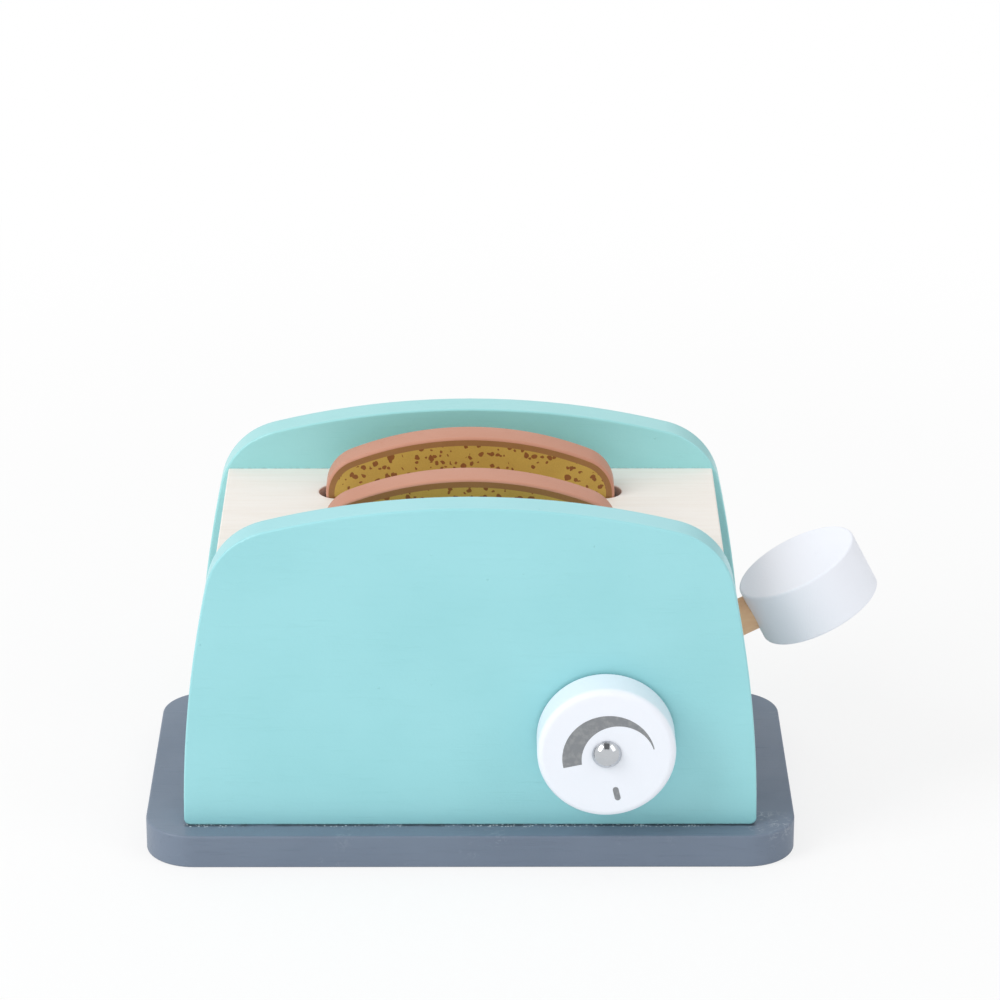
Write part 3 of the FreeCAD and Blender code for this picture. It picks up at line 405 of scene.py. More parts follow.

# %% [markdown]
# ## The line where a panel meets the base
#
# The panels stand on the base with a hair of a gap. A dark line runs along it, broken in places, and a
# few crumbs of white sanding dust lie beside it. Corner dust and shade alone is too even for this. The
# line has a known place, a panel's outer face, so the mask is worked out from the distance to that
# face, and noise makes it uneven.

# %% Group: joint line
LINE_WANDER = -1.0 * MM
LINE_NEAR = -0.1 * MM
LINE_FAR = 0.8 * MM
LINE_THINNEST = 0.25
FLECK_CELL = 0.9 * MM
FLECKS_NEAR = 0.8 * MM
FLECKS_FAR = 1.8 * MM


def make_joint_line():
    """Masks of the dark line and the pale flecks along both panels' feet."""
    inputs = {"Face": 0.045, "Half Length": 0.085, "Top": 0.010}
    tree, given, made = new_group("joint line", inputs, ["Dark", "Flecks"])
    place = here(tree)
    across, depth, height = add(tree, "SeparateXYZ", {0: place}).outputs
    away = calc(tree, "SUBTRACT", calc(tree, "ABSOLUTE", depth), given["Face"])
    away = calc(tree, "ABSOLUTE", away)
    past_end = calc(tree, "SUBTRACT", calc(tree, "ABSOLUTE", across), given["Half Length"])
    above = calc(tree, "SUBTRACT", height, given["Top"])
    on_top = times(tree, fade(tree, past_end, -1.0 * MM, 0.5 * MM),
                   ramp(tree, above, -0.4 * MM, -0.1 * MM))
    uneven = calc(tree, "MULTIPLY_ADD", noise(tree, place, 220.0, 3.0), LINE_WANDER, away)
    line = fade(tree, uneven, LINE_NEAR, LINE_FAR)
    filled = ramp(tree, noise(tree, place, 130.0, 2.0), 0.38, 0.50, LINE_THINNEST, 1.0)
    tree.links.new(times(tree, line, filled, on_top), made["Dark"])
    distance, chances = scatter(tree, place, 1 / FLECK_CELL)
    bits = times(tree, fade(tree, distance, 0.30, 0.42), ramp(tree, chances[0], 0.38, 0.43))
    gathered = ramp(tree, noise(tree, place, 48.0, 1.0), 0.36, 0.50)
    beside = fade(tree, away, FLECKS_NEAR, FLECKS_FAR)
    tree.links.new(times(tree, bits, gathered, beside, on_top), made["Flecks"])
    return tree


JOINT_LINE = make_joint_line()
print("group:", JOINT_LINE.name, "with", len(JOINT_LINE.nodes), "nodes")

# %% [markdown]
# ## Materials
#
# Paint, wood and metal could each have a shader of their own kind. One Principled shader can
# be all of them, so each finish is that shader, fed by the groups. What is the same all over,
# such as the strength of the clear reflection, is set on the shader itself.

# %% Helpers: materials
def new_material(name, **plain):
    """A material with a Principled shader; plain fills sockets such as coat_weight."""
    material = bpy.data.materials.new(name)
    material.use_nodes = True
    tree = material.node_tree
    shader = next(node for node in tree.nodes if node.type == "BSDF_PRINCIPLED")
    for key, value in plain.items():
        shader.inputs[key.replace("_", " ").title()].default_value = value
    return material, tree, shader


def raise_surface(tree, shader, height, depth):
    """Feeds a height to the shader's normal; depth is the relief's real height in metres."""
    bump = add(tree, "Bump", {"Height": height, "Distance": depth})
    tree.links.new(bump.outputs["Normal"], shader.inputs["Normal"])


print("materials before the first finish:", len(bpy.data.materials))

# %% Helper: sprayed paint
PAINT_RELIEF = 0.12 * MM
CORNER_DUST_AND_SHADE_AMOUNT = 0.25
PAINT_DUST_AND_SHADE = rgb(104, 112, 112)


def painted(name, paint, deep, edge_highlight_and_wear, stretch, sheen=0.42, mottle=0.5, fibre=0.4, wear_and_highlight=0.35,
            varnish=0.0, marks=None, cast=None):
    """Sprayed paint, deep where thick, with painted highlight and wear on edges, dust and painted shade
    in corners.

    Varnish is a clear coat. Marks is a function that paints more over the colour. Cast is the
    colour that the paint throws on its neighbours, where that has to differ from its own.
    """
    material, tree, shader = new_material(name, coat_weight=varnish, coat_roughness=0.3)
    film = use(tree, PAINT_FILM, paint=paint, deep_paint=deep, mottle=mottle, stretch=stretch,
               fibre=fibre, sheen=sheen)
    # Paler rounded edges: a painted highlight where light would catch them, with a little worn paint.
    edges = use(tree, RUBBED_EDGES_AND_HIGHLIGHTS, amount=wear_and_highlight)["Mask"]
    colour = mix(tree, edges, film["Color"], edge_highlight_and_wear)
    if marks:
        colour = marks(tree, colour)
    # Darker where other surfaces close in: corner dust, and painted shade.
    dust = use(tree, CORNER_DUST_AND_SHADE, amount=CORNER_DUST_AND_SHADE_AMOUNT)["Mask"]
    colour = mix(tree, dust, colour, PAINT_DUST_AND_SHADE)
    if cast:
        bounced = add(tree, "LightPath").outputs["Is Diffuse Ray"]
        colour = mix(tree, bounced, colour, cast)
    tree.links.new(colour, shader.inputs["Base Color"])
    tree.links.new(film["Roughness"], shader.inputs["Roughness"])
    raise_surface(tree, shader, film["Height"], PAINT_RELIEF)
    return material


print("the paint's skin is up to", PAINT_RELIEF / MM, "mm high")

# %% [markdown]
# ## Turquoise, slate and white
#
# The two arched panels and the end walls share one satin turquoise, a little deeper where the film is
# thick. The back panel's copy is a touch greener, a painted tint for the warm light bounced onto its
# inner face, and the walls are a touch greener too. The base board is a slate blue-grey with paler
# edges, a painted highlight with some rubbing, and scuffs, most of them at the corner under the lever.
# The knob and the dial are turned and sprayed white. Five separate graphs could be drawn, but
# it is one paint with other values. Only the walls need something more. They stand so close to
# the white knob that their bounced light would dye it teal, far more than on the real toy. A
# Light Path node tells those bounced rays apart, and they meet a plain pale grey instead.

# %% Paints
ALONG_X = (12.0, 220.0, 220.0)
UPRIGHT = (220.0, 220.0, 12.0)
PALE_CAST = rgb(212, 212, 212)
SCUFFED_PAINT = rgb(176, 184, 194)
JOINT_DARK = rgb(52, 60, 70)
SANDING_DUST = rgb(214, 220, 226)
PANEL_LOW, PANEL_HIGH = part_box("front_panel")
SCUFFED_CORNER = (89 * MM, -44 * MM, PANEL_LOW.z)


def base_marks(tree, colour):
    """The base's scuffed corner, joint lines and sanding dust."""
    scuffs = use(tree, SCUFFS, middle=SCUFFED_CORNER, reach=10 * MM, amount=0.75)["Mask"]
    joint = use(tree, JOINT_LINE, face=-PANEL_LOW.y, half_length=PANEL_HIGH.x, top=PANEL_LOW.z)
    colour = mix(tree, scuffs, colour, SCUFFED_PAINT)
    # A dark line on the base along each panel's foot, with pale flecks beside it.
    colour = mix(tree, times(tree, joint["Dark"], 0.75), colour, JOINT_DARK)
    return mix(tree, times(tree, joint["Flecks"], 0.8), colour, SANDING_DUST)


turquoise = painted("turquoise_paint", rgb(156, 219, 225), rgb(143, 209, 214), rgb(190, 232, 236),
                    ALONG_X, varnish=0.4)
# The back panel's greener copy of the paint is a painted tint for warm light bounced onto it.
turquoise_back_bounce_tint = painted("turquoise_back_paint_bounce_tint", rgb(157, 219, 221), rgb(145, 209, 210),
                         rgb(192, 233, 234), ALONG_X, varnish=0.4)
turquoise_walls = painted("turquoise_wall_paint", rgb(158, 219, 222), rgb(144, 208, 210),
                          rgb(190, 232, 236), UPRIGHT, varnish=0.4, cast=PALE_CAST)
slate = painted("slate_paint", rgb(116, 129, 147), rgb(102, 115, 133), rgb(150, 162, 176),
                ALONG_X, sheen=0.46, mottle=0.6, fibre=0.8, wear_and_highlight=0.6, marks=base_marks)
white = painted("white_paint", rgb(243, 246, 254), rgb(235, 240, 248), rgb(250, 252, 255),
                UPRIGHT, sheen=0.40, mottle=0.4, fibre=0.3, wear_and_highlight=0.2)
print("paints:", [paint.name for paint in (turquoise, turquoise_back_bounce_tint, turquoise_walls, slate, white)])

# %% [markdown]
# ## Bare wood
#
# The top plate is bleached and waxed, so it is nearly white with only a breath of grain. The
# dowels, the lift board and the small block under the arm are plain beech, and the lever's arm
# is a pinker piece of it. The grain could be laid along each piece by unwrapping its mesh. But
# every piece lies along an axis or close to one, so it is enough to draw the pattern out along
# X, Y or Z.

# %% Woods
GRAIN_ALONG_X = (4.0, 60.0, 60.0)
GRAIN_ALONG_Y = (60.0, 4.0, 60.0)
GRAIN_UPRIGHT = (60.0, 60.0, 4.0)
BEECH_PALE = rgb(222, 190, 152)
BEECH_DARK = rgb(184, 142, 102)
WOOD_DUST_AND_SHADE = rgb(128, 108, 84)
WOOD_RELIEF = 0.08 * MM


def bare_wood(name, pale, dark, stretch, rings=0.5, flecks=0.5, sheen=0.6):
    """Waxed or plain wood, with dust and painted shade in the corners."""
    material, tree, shader = new_material(name)
    grain = use(tree, WOOD_GRAIN, pale=pale, dark=dark, stretch=stretch, rings=rings,
                flecks=flecks, sheen=sheen)
    # Darker where other surfaces close in: corner dust, and painted shade.
    dust = use(tree, CORNER_DUST_AND_SHADE, amount=CORNER_DUST_AND_SHADE_AMOUNT)["Mask"]
    tree.links.new(mix(tree, dust, grain["Color"], WOOD_DUST_AND_SHADE), shader.inputs["Base Color"])
    tree.links.new(grain["Roughness"], shader.inputs["Roughness"])
    raise_surface(tree, shader, grain["Height"], WOOD_RELIEF)
    return material


plate_wood = bare_wood("bleached_wood", rgb(243, 238, 232), rgb(232, 223, 212), GRAIN_ALONG_X,
                       rings=0.25, flecks=0.15, sheen=0.55)
beech = bare_wood("beech", BEECH_PALE, BEECH_DARK, GRAIN_ALONG_X)
pinkish_beech = bare_wood("pinkish_beech", rgb(243, 203, 161), rgb(225, 171, 127), GRAIN_ALONG_X)
beech_upright = bare_wood("beech_upright", BEECH_PALE, BEECH_DARK, GRAIN_UPRIGHT)
beech_across = bare_wood("beech_across", BEECH_PALE, BEECH_DARK, GRAIN_ALONG_Y)
print("woods:", [wood.name for wood in (plate_wood, beech, pinkish_beech, beech_upright, beech_across)])

# %% [markdown]
# ## Metal and nylon
#
# The dial turns on a chromed screw with a domed head. The screws under the base and the
# lever's pin are plain steel. A thin nylon washer keeps the dial off the paint. Metal could be
# one even mirror, but that looks drawn. So fine scratches, a noise stretched one way, lift the
# roughness here and there.

# %% Metal and nylon
SCRATCH_STRETCH = (300.0, 300.0, 4000.0)
STAIN_SCALE = 600.0
STAIN_SHARE = 0.2
METAL_STAIN = rgb(150, 152, 156)
METAL_RELIEF = 0.004 * MM
NYLON_SCALE = 300.0


def metal(name, colour, dull, lines):
    """Bare metal, as dull as a number says, and duller by lines where it is scratched."""
    material, tree, shader = new_material(name, metallic=1.0)
    scratches = noise(tree, stretched(tree, here(tree), SCRATCH_STRETCH), 1.0, 3.0)
    share = ramp(tree, scratches, 0.45, 0.75)
    stains = times(tree, noise(tree, here(tree), STAIN_SCALE, 2.0), STAIN_SHARE)
    tree.links.new(mix(tree, stains, colour, METAL_STAIN), shader.inputs["Base Color"])
    tree.links.new(calc(tree, "MULTIPLY_ADD", share, lines, dull), shader.inputs["Roughness"])
    raise_surface(tree, shader, share, METAL_RELIEF)
    return material


def cloudy(name, scale, first, second, smooth, rough, **plain):
    """A plain finish whose colour and roughness drift between two values."""
    material, tree, shader = new_material(name, **plain)
    clouds = noise(tree, here(tree), scale, 2.0)
    tree.links.new(mix(tree, clouds, first, second), shader.inputs["Base Color"])
    tree.links.new(ramp(tree, clouds, 0.3, 0.7, smooth, rough), shader.inputs["Roughness"])
    return material


chrome = metal("chrome", rgb(196, 199, 203), dull=0.09, lines=0.06)
steel = metal("steel", rgb(190, 191, 194), dull=0.32, lines=0.18)
nylon = cloudy("nylon", NYLON_SCALE, rgb(232, 230, 222), rgb(216, 214, 206), smooth=0.35, rough=0.5,
               subsurface_weight=0.15)
print("others:", chrome.name, steel.name, nylon.name)

# %% [markdown]
# ## Giving each piece its finish
#
# A ready-made piece keeps its mesh and gets a finish in its material slots. That could take a
# line for each piece. A table of pieces and finishes is easier to read and to change.

# %% Dress the pieces
FINISHES = {
    "front_panel": turquoise, "back_panel": turquoise_back_bounce_tint,
    "left_end_wall": turquoise_walls, "right_end_wall": turquoise_walls,
    "base_board": slate, "lever_knob": white, "dial": white,
    "top_plate": plate_wood, "lever_arm": pinkish_beech,
    "lift_board": beech, "lever_rest_pad": beech,
    "left_guide_posts": beech_upright, "right_guide_posts": beech_upright,
    "plate_dowels": beech_upright, "lift_bar": beech_across,
    "front_panel_dowels": beech_across, "back_panel_dowels": beech_across,
    "dial_screw": chrome, "base_screws": steel, "pivot_pin": steel, "dial_washer": nylon,
}
for name, finish in FINISHES.items():
    for material_slot in NODES[name].material_slots:
        material_slot.material = finish
print("dressed:", len(FINISHES), "pieces")

# %% [markdown]
# ## The slices of toast
#
# Each slice is sawn from a 10 mm board to the outline of a loaf: straight sides that lean out
# a little, hollow necks, round shoulders and a low crown. It could be drawn freely as a curve.
# Here every stretch is a line or an arc about a fixed centre, so a smaller outline for the
# print is the same arcs with other radii. That is why the outline is a function of its inset.

# %% Sizes of a slice
FOOT_WIDTH = 71.2 * MM
SIDE_LEAN = math.radians(1.63)
SLICE_WIDTH = 88.0 * MM
SHOULDER_RADIUS = 12.2 * MM
SHOULDER_HEIGHT = 58.2 * MM
CROWN_HEIGHT = 6.2 * MM
NECK_RADIUS = 36.0 * MM
FOOT_ROUND = 1.5 * MM
FOOT_ROUND_LEAST = 0.3 * MM
STEPS = {"foot": 8, "corner": 5, "side": 10, "neck": 14, "shoulder": 24, "crown": 26}
print("slice height in mm:", round((SHOULDER_HEIGHT + SHOULDER_RADIUS + CROWN_HEIGHT) / MM, 1))

# %% Helpers: directions and arcs
def bearing(start, end):
    """The direction from one point to another, as an angle."""
    return math.atan2(end.y - start.y, end.x - start.x)


def arc_points(centre, radius, start, end, steps):
    """Points along an arc, both ends included."""
    turns = [start + (end - start) * step / steps for step in range(steps + 1)]
    return [centre + Vector((math.cos(turn), math.sin(turn))) * radius for turn in turns]


print("a quarter arc in 3 steps has", len(arc_points(Vector((0, 0)), 1, 0, math.pi / 2, 3)), "points")

# %% The outline of a slice
def half_slice(inset):
    """The outline's right half from the middle of the foot to the top, set in by a distance."""
    shoulder_centre = Vector((SLICE_WIDTH / 2 - SHOULDER_RADIUS, SHOULDER_HEIGHT))
    rise = SHOULDER_RADIUS + CROWN_HEIGHT
    crown = (shoulder_centre.x ** 2 + rise ** 2 - SHOULDER_RADIUS ** 2) / (2 * CROWN_HEIGHT)
    crown_centre = Vector((0, SHOULDER_HEIGHT + rise - crown))
    corner = Vector((FOOT_WIDTH / 2, 0))
    upward = Vector((math.sin(SIDE_LEAN), math.cos(SIDE_LEAN)))
    outward = Vector((math.cos(SIDE_LEAN), -math.sin(SIDE_LEAN)))
    offset = corner + outward * NECK_RADIUS - shoulder_centre
    along = offset.dot(upward)
    reach = (NECK_RADIUS + SHOULDER_RADIUS) ** 2
    length = -along - math.sqrt(along ** 2 - offset.length_squared + reach)
    side_end = corner + upward * length
    neck_centre = side_end + outward * NECK_RADIUS
    foot_round = max(FOOT_ROUND - inset, FOOT_ROUND_LEAST)
    low = corner + upward * inset - outward * inset
    foot_centre = low + Vector((-foot_round, foot_round))
    to_shoulder = bearing(neck_centre, shoulder_centre)
    to_side = bearing(neck_centre, side_end) % (2 * math.pi)
    high = bearing(crown_centre, shoulder_centre)
    points = [Vector((foot_centre.x * step / STEPS["foot"], low.y)) for step in range(STEPS["foot"])]
    points += arc_points(foot_centre, foot_round, -math.pi / 2, 0, STEPS["corner"])
    start = points[-1]
    end = side_end - outward * inset
    points += [start.lerp(end, step / STEPS["side"]) for step in range(1, STEPS["side"])]
    points += arc_points(neck_centre, NECK_RADIUS + inset, to_side, to_shoulder, STEPS["neck"])
    points += arc_points(shoulder_centre, SHOULDER_RADIUS - inset, to_shoulder - math.pi, high,
                         STEPS["shoulder"])[1:]
    points += arc_points(crown_centre, crown - inset, high, math.pi / 2, STEPS["crown"])[1:]
    return points


def slice_outline(inset):
    """The whole outline, anticlockwise from the middle of the foot."""
    right = half_slice(inset)
    left = [Vector((-point.x, point.y)) for point in reversed(right[1:-1])]
    return right + left


print("outline:", len(slice_outline(0.0)), "points")

# %% [markdown]
# ## Speckles
#
# A toasted crumb is browned in dots and small blobs, some joined in chains. Thousands of small
# discs would make a heavy mesh, so the dots are a pattern. Each size of dot is one layer:
# scattered points with a dot round some of them, whose radius and presence follow the point's
# own random numbers. A little noise pushes the places about, so that no dot is a perfect
# circle, and the layers thin out towards the crust.

# %% Helper: a layer of dots
DOT_BLUR = 0.05 * MM


def dot_layer(tree, place, cell, small, large, presence):
    """Dots between two radii, one per cell at most, where the presence allows it."""
    distance, chances = scatter(tree, place, 1 / cell, voronoi_dimensions="2D")
    radius = calc(tree, "MULTIPLY_ADD", chances[0], (large - small) / cell, small / cell)
    inside = calc(tree, "SUBTRACT", radius, distance)
    dots = ramp(tree, inside, -DOT_BLUR / cell, DOT_BLUR / cell)
    return times(tree, dots, calc(tree, "LESS_THAN", chances[1], presence))


print("a dot's rim is soft over", 2 * DOT_BLUR / MM, "mm")

# %% Group: bread speckles
FACE_SHIFT = 37.0
PUSH_SCALE = 520.0
PUSH_REACH = 1.6 * MM
CROWDED_WITHIN = 12 * MM
THIN_BEYOND = 46 * MM
CLUMP_SCALE = 110.0


def make_speckles():
    """A mask of brown dots about a middle height, other ones on each face of a slice."""
    inputs = {"Middle Height": 0.07, "Amount": 1.0}
    tree, given, made = new_group("bread speckles", inputs, ["Mask"])
    across, depth, up = add(tree, "SeparateXYZ", {0: here(tree)}).outputs
    shifted = calc(tree, "ADD", across, times(tree, depth, FACE_SHIFT))
    flat = add(tree, "CombineXYZ", {0: shifted, 1: up}).outputs[0]
    push = add(tree, "TexNoise", {"Vector": flat, "Scale": PUSH_SCALE, "Detail": 2.0}).outputs["Color"]
    push = add(tree, "VectorMath", {0: push, 1: (0.5, 0.5, 0.5)}, operation="SUBTRACT").outputs[0]
    push = add(tree, "VectorMath", {0: push, "Scale": PUSH_REACH}, operation="SCALE").outputs[0]
    place = add(tree, "VectorMath", {0: flat, 1: push}, operation="ADD").outputs[0]
    height = calc(tree, "SUBTRACT", up, given["Middle Height"])
    squares = calc(tree, "MULTIPLY_ADD", height, height, times(tree, across, across))
    middle = ramp(tree, calc(tree, "SQRT", squares), CROWDED_WITHIN, THIN_BEYOND, 1.0, 0.6)
    clumps = ramp(tree, noise(tree, flat, CLUMP_SCALE, 1.0), 0.32, 0.58, 0.30, 1.0)
    crowd = times(tree, middle, clumps)
    small = dot_layer(tree, place, 2.0 * MM, 0.30 * MM, 0.55 * MM, times(tree, crowd, 0.72))
    medium = dot_layer(tree, place, 3.3 * MM, 0.50 * MM, 0.90 * MM, times(tree, crowd, 0.92))
    large = dot_layer(tree, place, 7.0 * MM, 0.75 * MM, 1.10 * MM, times(tree, middle, 0.50))
    dots = calc(tree, "MAXIMUM", calc(tree, "MAXIMUM", small, medium), large)
    tree.links.new(times(tree, dots, given["Amount"]), made["Mask"])
    return tree


SPECKLES = make_speckles()
print("group:", SPECKLES.name, "with", len(SPECKLES.nodes), "nodes")

# %% [markdown]
# ## Toast colours
#
# The sawn edge is painted salmon. Both faces are printed: a warm ochre crumb with speckles,
# and a brown band round it for the crust. One material with a mask for the band would do too,
# but the band already has faces of its own, and two materials keep its edge crisp. Print has a
# fine grain and stays matt.

# %% Toast finishes
CRUMB_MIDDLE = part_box("front_slice")[0].z + 34 * MM
BROWNED = rgb(144, 86, 32)
BROWNED_MORE = rgb(122, 70, 26)
PRINT_GRAIN = rgb(120, 84, 44)
PRINT_GRAIN_SCALE = 2600.0
PRINT_RELIEF = 0.03 * MM


def printed(name, light, deep, speckled):
    """Matt print in two tones of one colour, with or without toasted speckles."""
    material, tree, shader = new_material(name)
    place = here(tree)
    tone = ramp(tree, noise(tree, place, 34.0, 3.0, 0.6), 0.32, 0.68)
    colour = mix(tree, tone, light, deep)
    if speckled:
        spots = use(tree, SPECKLES, middle_height=CRUMB_MIDDLE, amount=1.0)["Mask"]
        browned = mix(tree, noise(tree, place, 500.0, 2.0), BROWNED, BROWNED_MORE)
        colour = mix(tree, spots, colour, browned)
    grain = noise(tree, place, PRINT_GRAIN_SCALE, 2.0)
    colour = mix(tree, ramp(tree, grain, 0.3, 0.7, 0.0, 0.10), colour, PRINT_GRAIN)
    tree.links.new(colour, shader.inputs["Base Color"])
    tree.links.new(ramp(tree, grain, 0.2, 0.8, 0.50, 0.64), shader.inputs["Roughness"])
    raise_surface(tree, shader, grain, PRINT_RELIEF)
    return material


toast_edge = painted("toast_edge_paint", rgb(200, 143, 119), rgb(188, 129, 104),
                     rgb(212, 162, 140), ALONG_X, sheen=0.52, mottle=0.5, fibre=0.6, wear_and_highlight=0.15)
crumb_print = printed("crumb_print", rgb(198, 164, 76), rgb(184, 149, 66), True)
crust_print = printed("crust_print", rgb(157, 112, 64), rgb(146, 101, 56), False)
print("toast:", toast_edge.name, crumb_print.name, crust_print.name)

# %% [markdown]
# ## Building a slice
#
# A slice is a board with rounded rims and two printed faces. It could be an outline with
# thickness and a bevel, but then the printed band would have to be cut in afterwards. So the
# mesh is a stack of outlines: over one face's rounded rim, down the side and over the other
# rim. The faces are closed by a band for the crust and one flat sheet for the crumb, printed
# on both sides. Each part takes its own material.

# %% The rings of a slice
EDGE_ROUND = 0.8 * MM
ROUND_STEPS = 5
CRUST_WIDTH = 1.85 * MM
PRINT_START = 0.95 * EDGE_ROUND


def slice_rings(thickness):
    """Pairs of inset and depth, from the crumb of one face round to the crumb of the other."""
    half = thickness / 2
    front = [(PRINT_START + CRUST_WIDTH, -half)]
    for step in range(ROUND_STEPS + 1):
        turn = math.pi / 2 * step / ROUND_STEPS
        front.append((EDGE_ROUND * (1 - math.sin(turn)), -half + EDGE_ROUND * (1 - math.cos(turn))))
    back = [(inset, -depth) for inset, depth in reversed(front)]
    return front + back


print("rings in a 10 mm slice:", len(slice_rings(10 * MM)))

# %% Helper: from a shape to a piece
def finished_piece(name, shape, finishes):
    """Turns a built shape into an object of its own, with its finishes."""
    bmesh.ops.recalc_face_normals(shape, faces=shape.faces)
    mesh = bpy.data.meshes.new(name)
    shape.to_mesh(mesh)
    shape.free()
    for finish in finishes:
        mesh.materials.append(finish)
    piece = bpy.data.objects.new(name, mesh)
    bpy.context.scene.collection.objects.link(piece)
    return piece


print("meshes before the first new one:", len(bpy.data.meshes))

# %% Make the slices
EDGE_FINISH, CRUST_FINISH, CRUMB_FINISH = 0, 1, 2


def build_slice(name, node):
    """A slice in the place of its plain board."""
    low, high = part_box(node)
    middle_y = (low.y + high.y) / 2
    shape = bmesh.new()
    rings = []
    for inset, depth in slice_rings(high.y - low.y):
        rings.append([shape.verts.new((point.x, middle_y + depth, low.z + point.y))
                      for point in slice_outline(inset)])
    last = len(rings) - 1
    count = len(rings[0])
    for index in range(last):
        crust = index in (0, last - 1)
        ring, next_ring = rings[index], rings[index + 1]
        for spot in range(count):
            after = (spot + 1) % count
            face = shape.faces.new((ring[spot], ring[after], next_ring[after], next_ring[spot]))
            face.material_index = CRUST_FINISH if crust else EDGE_FINISH
            face.smooth = not crust
    for ring in (rings[0], rings[last]):
        shape.faces.new(ring).material_index = CRUMB_FINISH
    return finished_piece(name, shape, (toast_edge, crust_print, crumb_print))


for side in ("front", "back"):
    toast = build_slice("%s_toast_slice" % side, "%s_slice" % side)
    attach(toast, "%s_toast" % side)
    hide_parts("%s_slice" % side)
    print(toast.name, len(toast.data.vertices), "points,", len(toast.data.polygons), "faces")

# %% [markdown]
# ## Marks on the dial
#
# A grey wedge that grows round the screw says less or more, and a short bar points at it. They
# are printed. A mask in the paint could draw them, but a mesh keeps its edge sharp from as
# close as you like, so they are thin sheets on the dial's face. The wedge lies between two
# circles that are not quite concentric and meet at its point.

# %% Ink
INK_SCALE = 700.0

ink, ink_tree, ink_shader = new_material("grey_ink")
worn = noise(ink_tree, here(ink_tree), INK_SCALE, 3.0)
ink_colour = mix(ink_tree, ramp(ink_tree, worn, 0.4, 0.7), rgb(130, 133, 137), rgb(146, 148, 150))
ink_tree.links.new(ink_colour, ink_shader.inputs["Base Color"])
ink_tree.links.new(ramp(ink_tree, worn, 0.3, 0.7, 0.42, 0.58), ink_shader.inputs["Roughness"])
print("ink:", ink.name)

# %% The outlines of the marks
OUTER_ARC = (Vector((0.63, -1.34)) * MM, 13.73 * MM, math.radians(-166.8), math.radians(-347.4))
INNER_ARC = (Vector((3.44, -1.81)) * MM, 10.84 * MM, math.radians(-341.8), math.radians(-171.9))
OUTER_STEPS = 60
INNER_STEPS = 48
BAR_TURN = math.radians(-76.7)
BAR_REACH = 13.2 * MM
BAR_LENGTH = 4.45 * MM
BAR_WIDTH = 1.75 * MM
BAR_END_STEPS = 8


def rounded_bar(reach, turn, length, width):
    """The outline of a bar with round ends, out from the dial's middle and pointing away from it."""
    along = Vector((math.cos(turn), math.sin(turn)))
    end = along * (length / 2 - width / 2)
    quarter = math.pi / 2
    return (arc_points(along * reach + end, width / 2, turn - quarter, turn + quarter, BAR_END_STEPS)
            + arc_points(along * reach - end, width / 2, turn + quarter, turn + 3 * quarter,
                         BAR_END_STEPS))


WEDGE = arc_points(*OUTER_ARC, OUTER_STEPS) + arc_points(*INNER_ARC, INNER_STEPS)
BAR = rounded_bar(BAR_REACH, BAR_TURN, BAR_LENGTH, BAR_WIDTH)
print("wedge:", len(WEDGE), "points, bar:", len(BAR), "points")

# %% Make the dial's marks
DIAL_LOW, DIAL_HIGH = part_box("dial")
DIAL_MIDDLE = (DIAL_LOW + DIAL_HIGH) / 2
INK_THICKNESS = 0.03 * MM


def printed_sheet(shape, outline):
    """A thin raised sheet on the dial's face, from its outline about the dial's middle."""
    layers = [[shape.verts.new((DIAL_MIDDLE.x + point.x, y, DIAL_MIDDLE.z + point.y))
               for point in outline] for y in (DIAL_LOW.y, DIAL_LOW.y - INK_THICKNESS)]
    back, front = layers
    shape.faces.new(front)
    shape.faces.new(back)
    for spot in range(len(outline)):
        after = (spot + 1) % len(outline)
        shape.faces.new((back[spot], back[after], front[after], front[spot]))


marks_shape = bmesh.new()
printed_sheet(marks_shape, WEDGE)
printed_sheet(marks_shape, BAR)
marks = finished_piece("dial_marks", marks_shape, (ink,))
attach(marks, "dial")
print(marks.name, len(marks.data.vertices), "points")

# %% [markdown]
# ## The floor
#
# The toaster stands on a wide sheet of white paper. Light alone leaves the sheet pale grey,
# and more light would bleach the paint. So a share of the sheet shines by itself, for the
# camera and for shiny or clear surfaces only, and to the lamps it is plain matt paper. The
# share grows with the distance from the toaster: close by the soft shadow stays, and further
# out the sheet turns white.

# %% Helpers: plain sheets
def bare_material(name):
    """A material with an empty graph."""
    material = bpy.data.materials.new(name)
    material.use_nodes = True
    material.node_tree.nodes.clear()
    return material, material.node_tree


def flat_sheet(name, width, height, finish):
    """A flat rectangle about the middle of everything."""
    across, up = width / 2, height / 2
    corners = [(-across, -up, 0), (across, -up, 0), (across, up, 0), (-across, up, 0)]
    mesh = bpy.data.meshes.new(name)
    mesh.from_pydata(corners, [], [(0, 1, 2, 3)])
    mesh.materials.append(finish)
    sheet = bpy.data.objects.new(name, mesh)
    bpy.context.scene.collection.objects.link(sheet)
    return sheet


print("for sheets:", [helper.__name__ for helper in (bare_material, flat_sheet)])

# %% Floor
FLOOR_WIDTH = 24.0
FLOOR_PAPER = rgb(246, 246, 246)
WHITE_LIGHT = rgb(255, 255, 255)
GLOW_NEAR = 0.75
GLOW_FAR = 1.0
GLOW_START = 0.18
GLOW_END = 0.60


def shows_background(tree):
    """1 for the camera's rays and for those from shiny or clear surfaces, 0 for plain light."""
    path = add(tree, "LightPath").outputs
    shiny = calc(tree, "MAXIMUM", path["Is Glossy Ray"], path["Is Transmission Ray"])
    return calc(tree, "MAXIMUM", path["Is Camera Ray"], shiny)


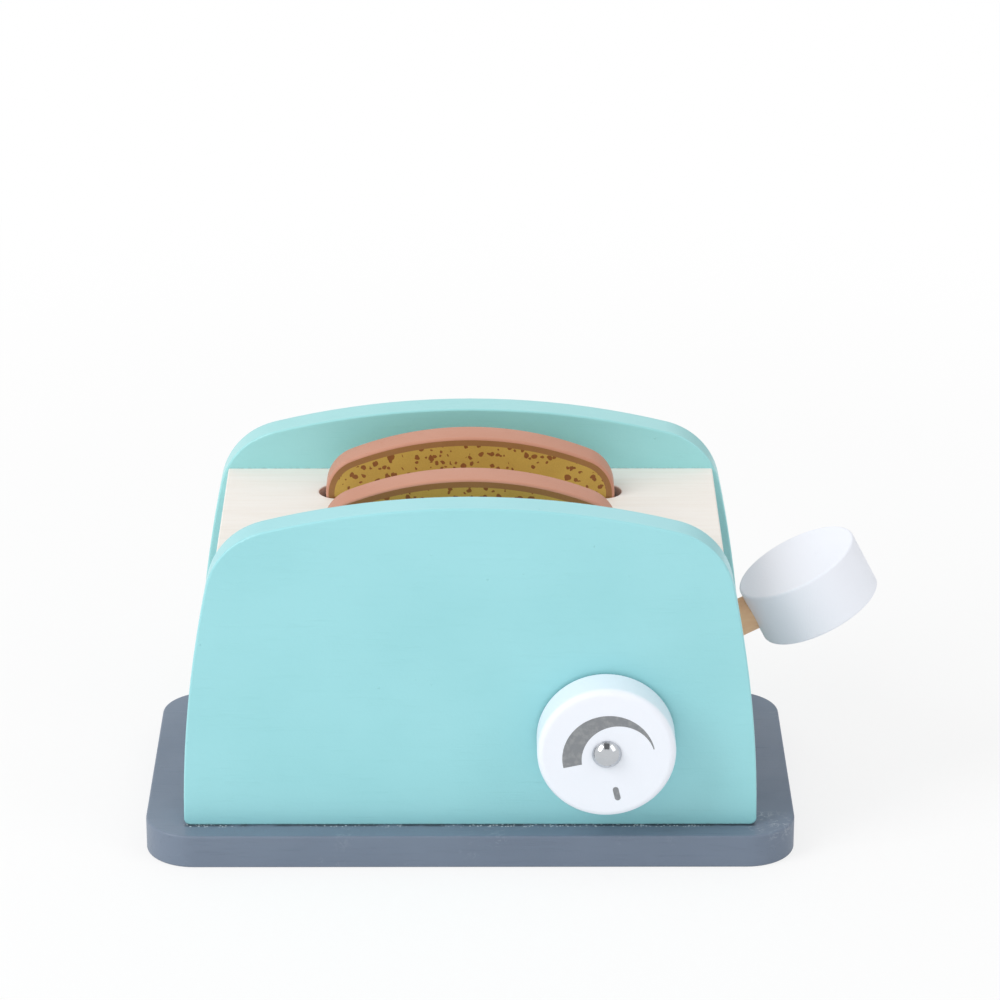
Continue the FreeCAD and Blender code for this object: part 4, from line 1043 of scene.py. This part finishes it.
paper, tree = bare_material("floor")
matt = add(tree, "BsdfDiffuse", {"Color": FLOOR_PAPER})
glow = add(tree, "Emission", {"Color": WHITE_LIGHT, "Strength": 1.0})
away = add(tree, "VectorMath", {0: here(tree)}, operation="LENGTH").outputs["Value"]
share = ramp(tree, away, GLOW_START, GLOW_END, GLOW_NEAR, GLOW_FAR)
share = times(tree, share, shows_background(tree))
blend = add(tree, "MixShader", {0: share, 1: matt.outputs[0], 2: glow.outputs[0]})
add(tree, "OutputMaterial", {"Surface": blend.outputs[0]})
floor = flat_sheet("floor", FLOOR_WIDTH, FLOOR_WIDTH, paper)
print("floor:", FLOOR_WIDTH, "m across")

# %% [markdown]
# ## Sky and lamps
#
# Under one small lamp the shadows are hard, and under an even sky a board has no shape. So a
# white sky fills everything softly, and two broad lamps in front and above model it, with the
# left one much the stronger. Where the sky itself is seen it is white, as the floor is.

# %% Sky and lamps
SKY_STRENGTH = 0.70
LAMPS_AIM = Vector((0, 0, 0.05))

world = bpy.data.worlds.new("sky")
world.use_nodes = True
bpy.context.scene.world = world
tree = world.node_tree
tree.nodes.clear()
strength = ramp(tree, shows_background(tree), 0.0, 1.0, SKY_STRENGTH, 1.0)
background = add(tree, "Background", {"Color": WHITE_LIGHT, "Strength": strength})
add(tree, "OutputWorld", {"Surface": background.outputs[0]})


def softbox(name, place, width, height, power):
    """A broad lamp that faces the toaster's middle."""
    lamp = bpy.data.lights.new(name, "AREA")
    lamp.shape = "RECTANGLE"
    lamp.size = width
    lamp.size_y = height
    lamp.energy = power
    piece = bpy.data.objects.new(name, lamp)
    piece.location = place
    aim = LAMPS_AIM - Vector(place)
    piece.rotation_euler = aim.to_track_quat("-Z", "Y").to_euler()
    bpy.context.scene.collection.objects.link(piece)


softbox("left_softbox", place=(-1.50, -0.90, 1.40), width=1.0, height=1.6, power=22.5)
softbox("right_softbox", place=(1.50, -0.90, 1.40), width=1.0, height=1.6, power=5.5)

# %% [markdown]
# ## Grey cards for the reflections
#
# A shiny surface shows what stands round it. With nothing but white about, a polished screw
# head looks like plaster, and a pale glare lies over the panels' curved shoulders. Another
# colour on the screw would not help, because it is the reflections that are missing. So two
# grey cards are hung up. One is between the lamps and puts a dark patch between their two
# bright ones in the chrome. The other stands behind on the right and takes the glare off the
# right-hand shoulders. Only reflections see the cards, so they neither light nor shade the wood.

# %% Grey cards
def reflected_card(name, place, tilt, width, height, grey):
    """A flat card that shines with a plain grey; a tilt of 90 degrees stands it upright."""
    finish, tree = bare_material(name)
    plain = add(tree, "Emission", {"Color": rgb(grey, grey, grey), "Strength": 1.0})
    add(tree, "OutputMaterial", {"Surface": plain.outputs[0]})
    card = flat_sheet(name, width, height, finish)
    card.location = place
    card.rotation_euler = (math.radians(tilt), 0, 0)
    card.visible_camera = False
    card.visible_diffuse = False
    card.visible_transmission = False
    card.visible_shadow = False
    print("card:", card.name, width, "x", height, "m")


reflected_card("upper_card", place=(0.04, -0.80, 1.68), tilt=24, width=1.2, height=1.6, grey=129)
reflected_card("right_card", place=(0.45, 0.45, 0.10), tilt=90, width=0.6, height=0.2, grey=172)
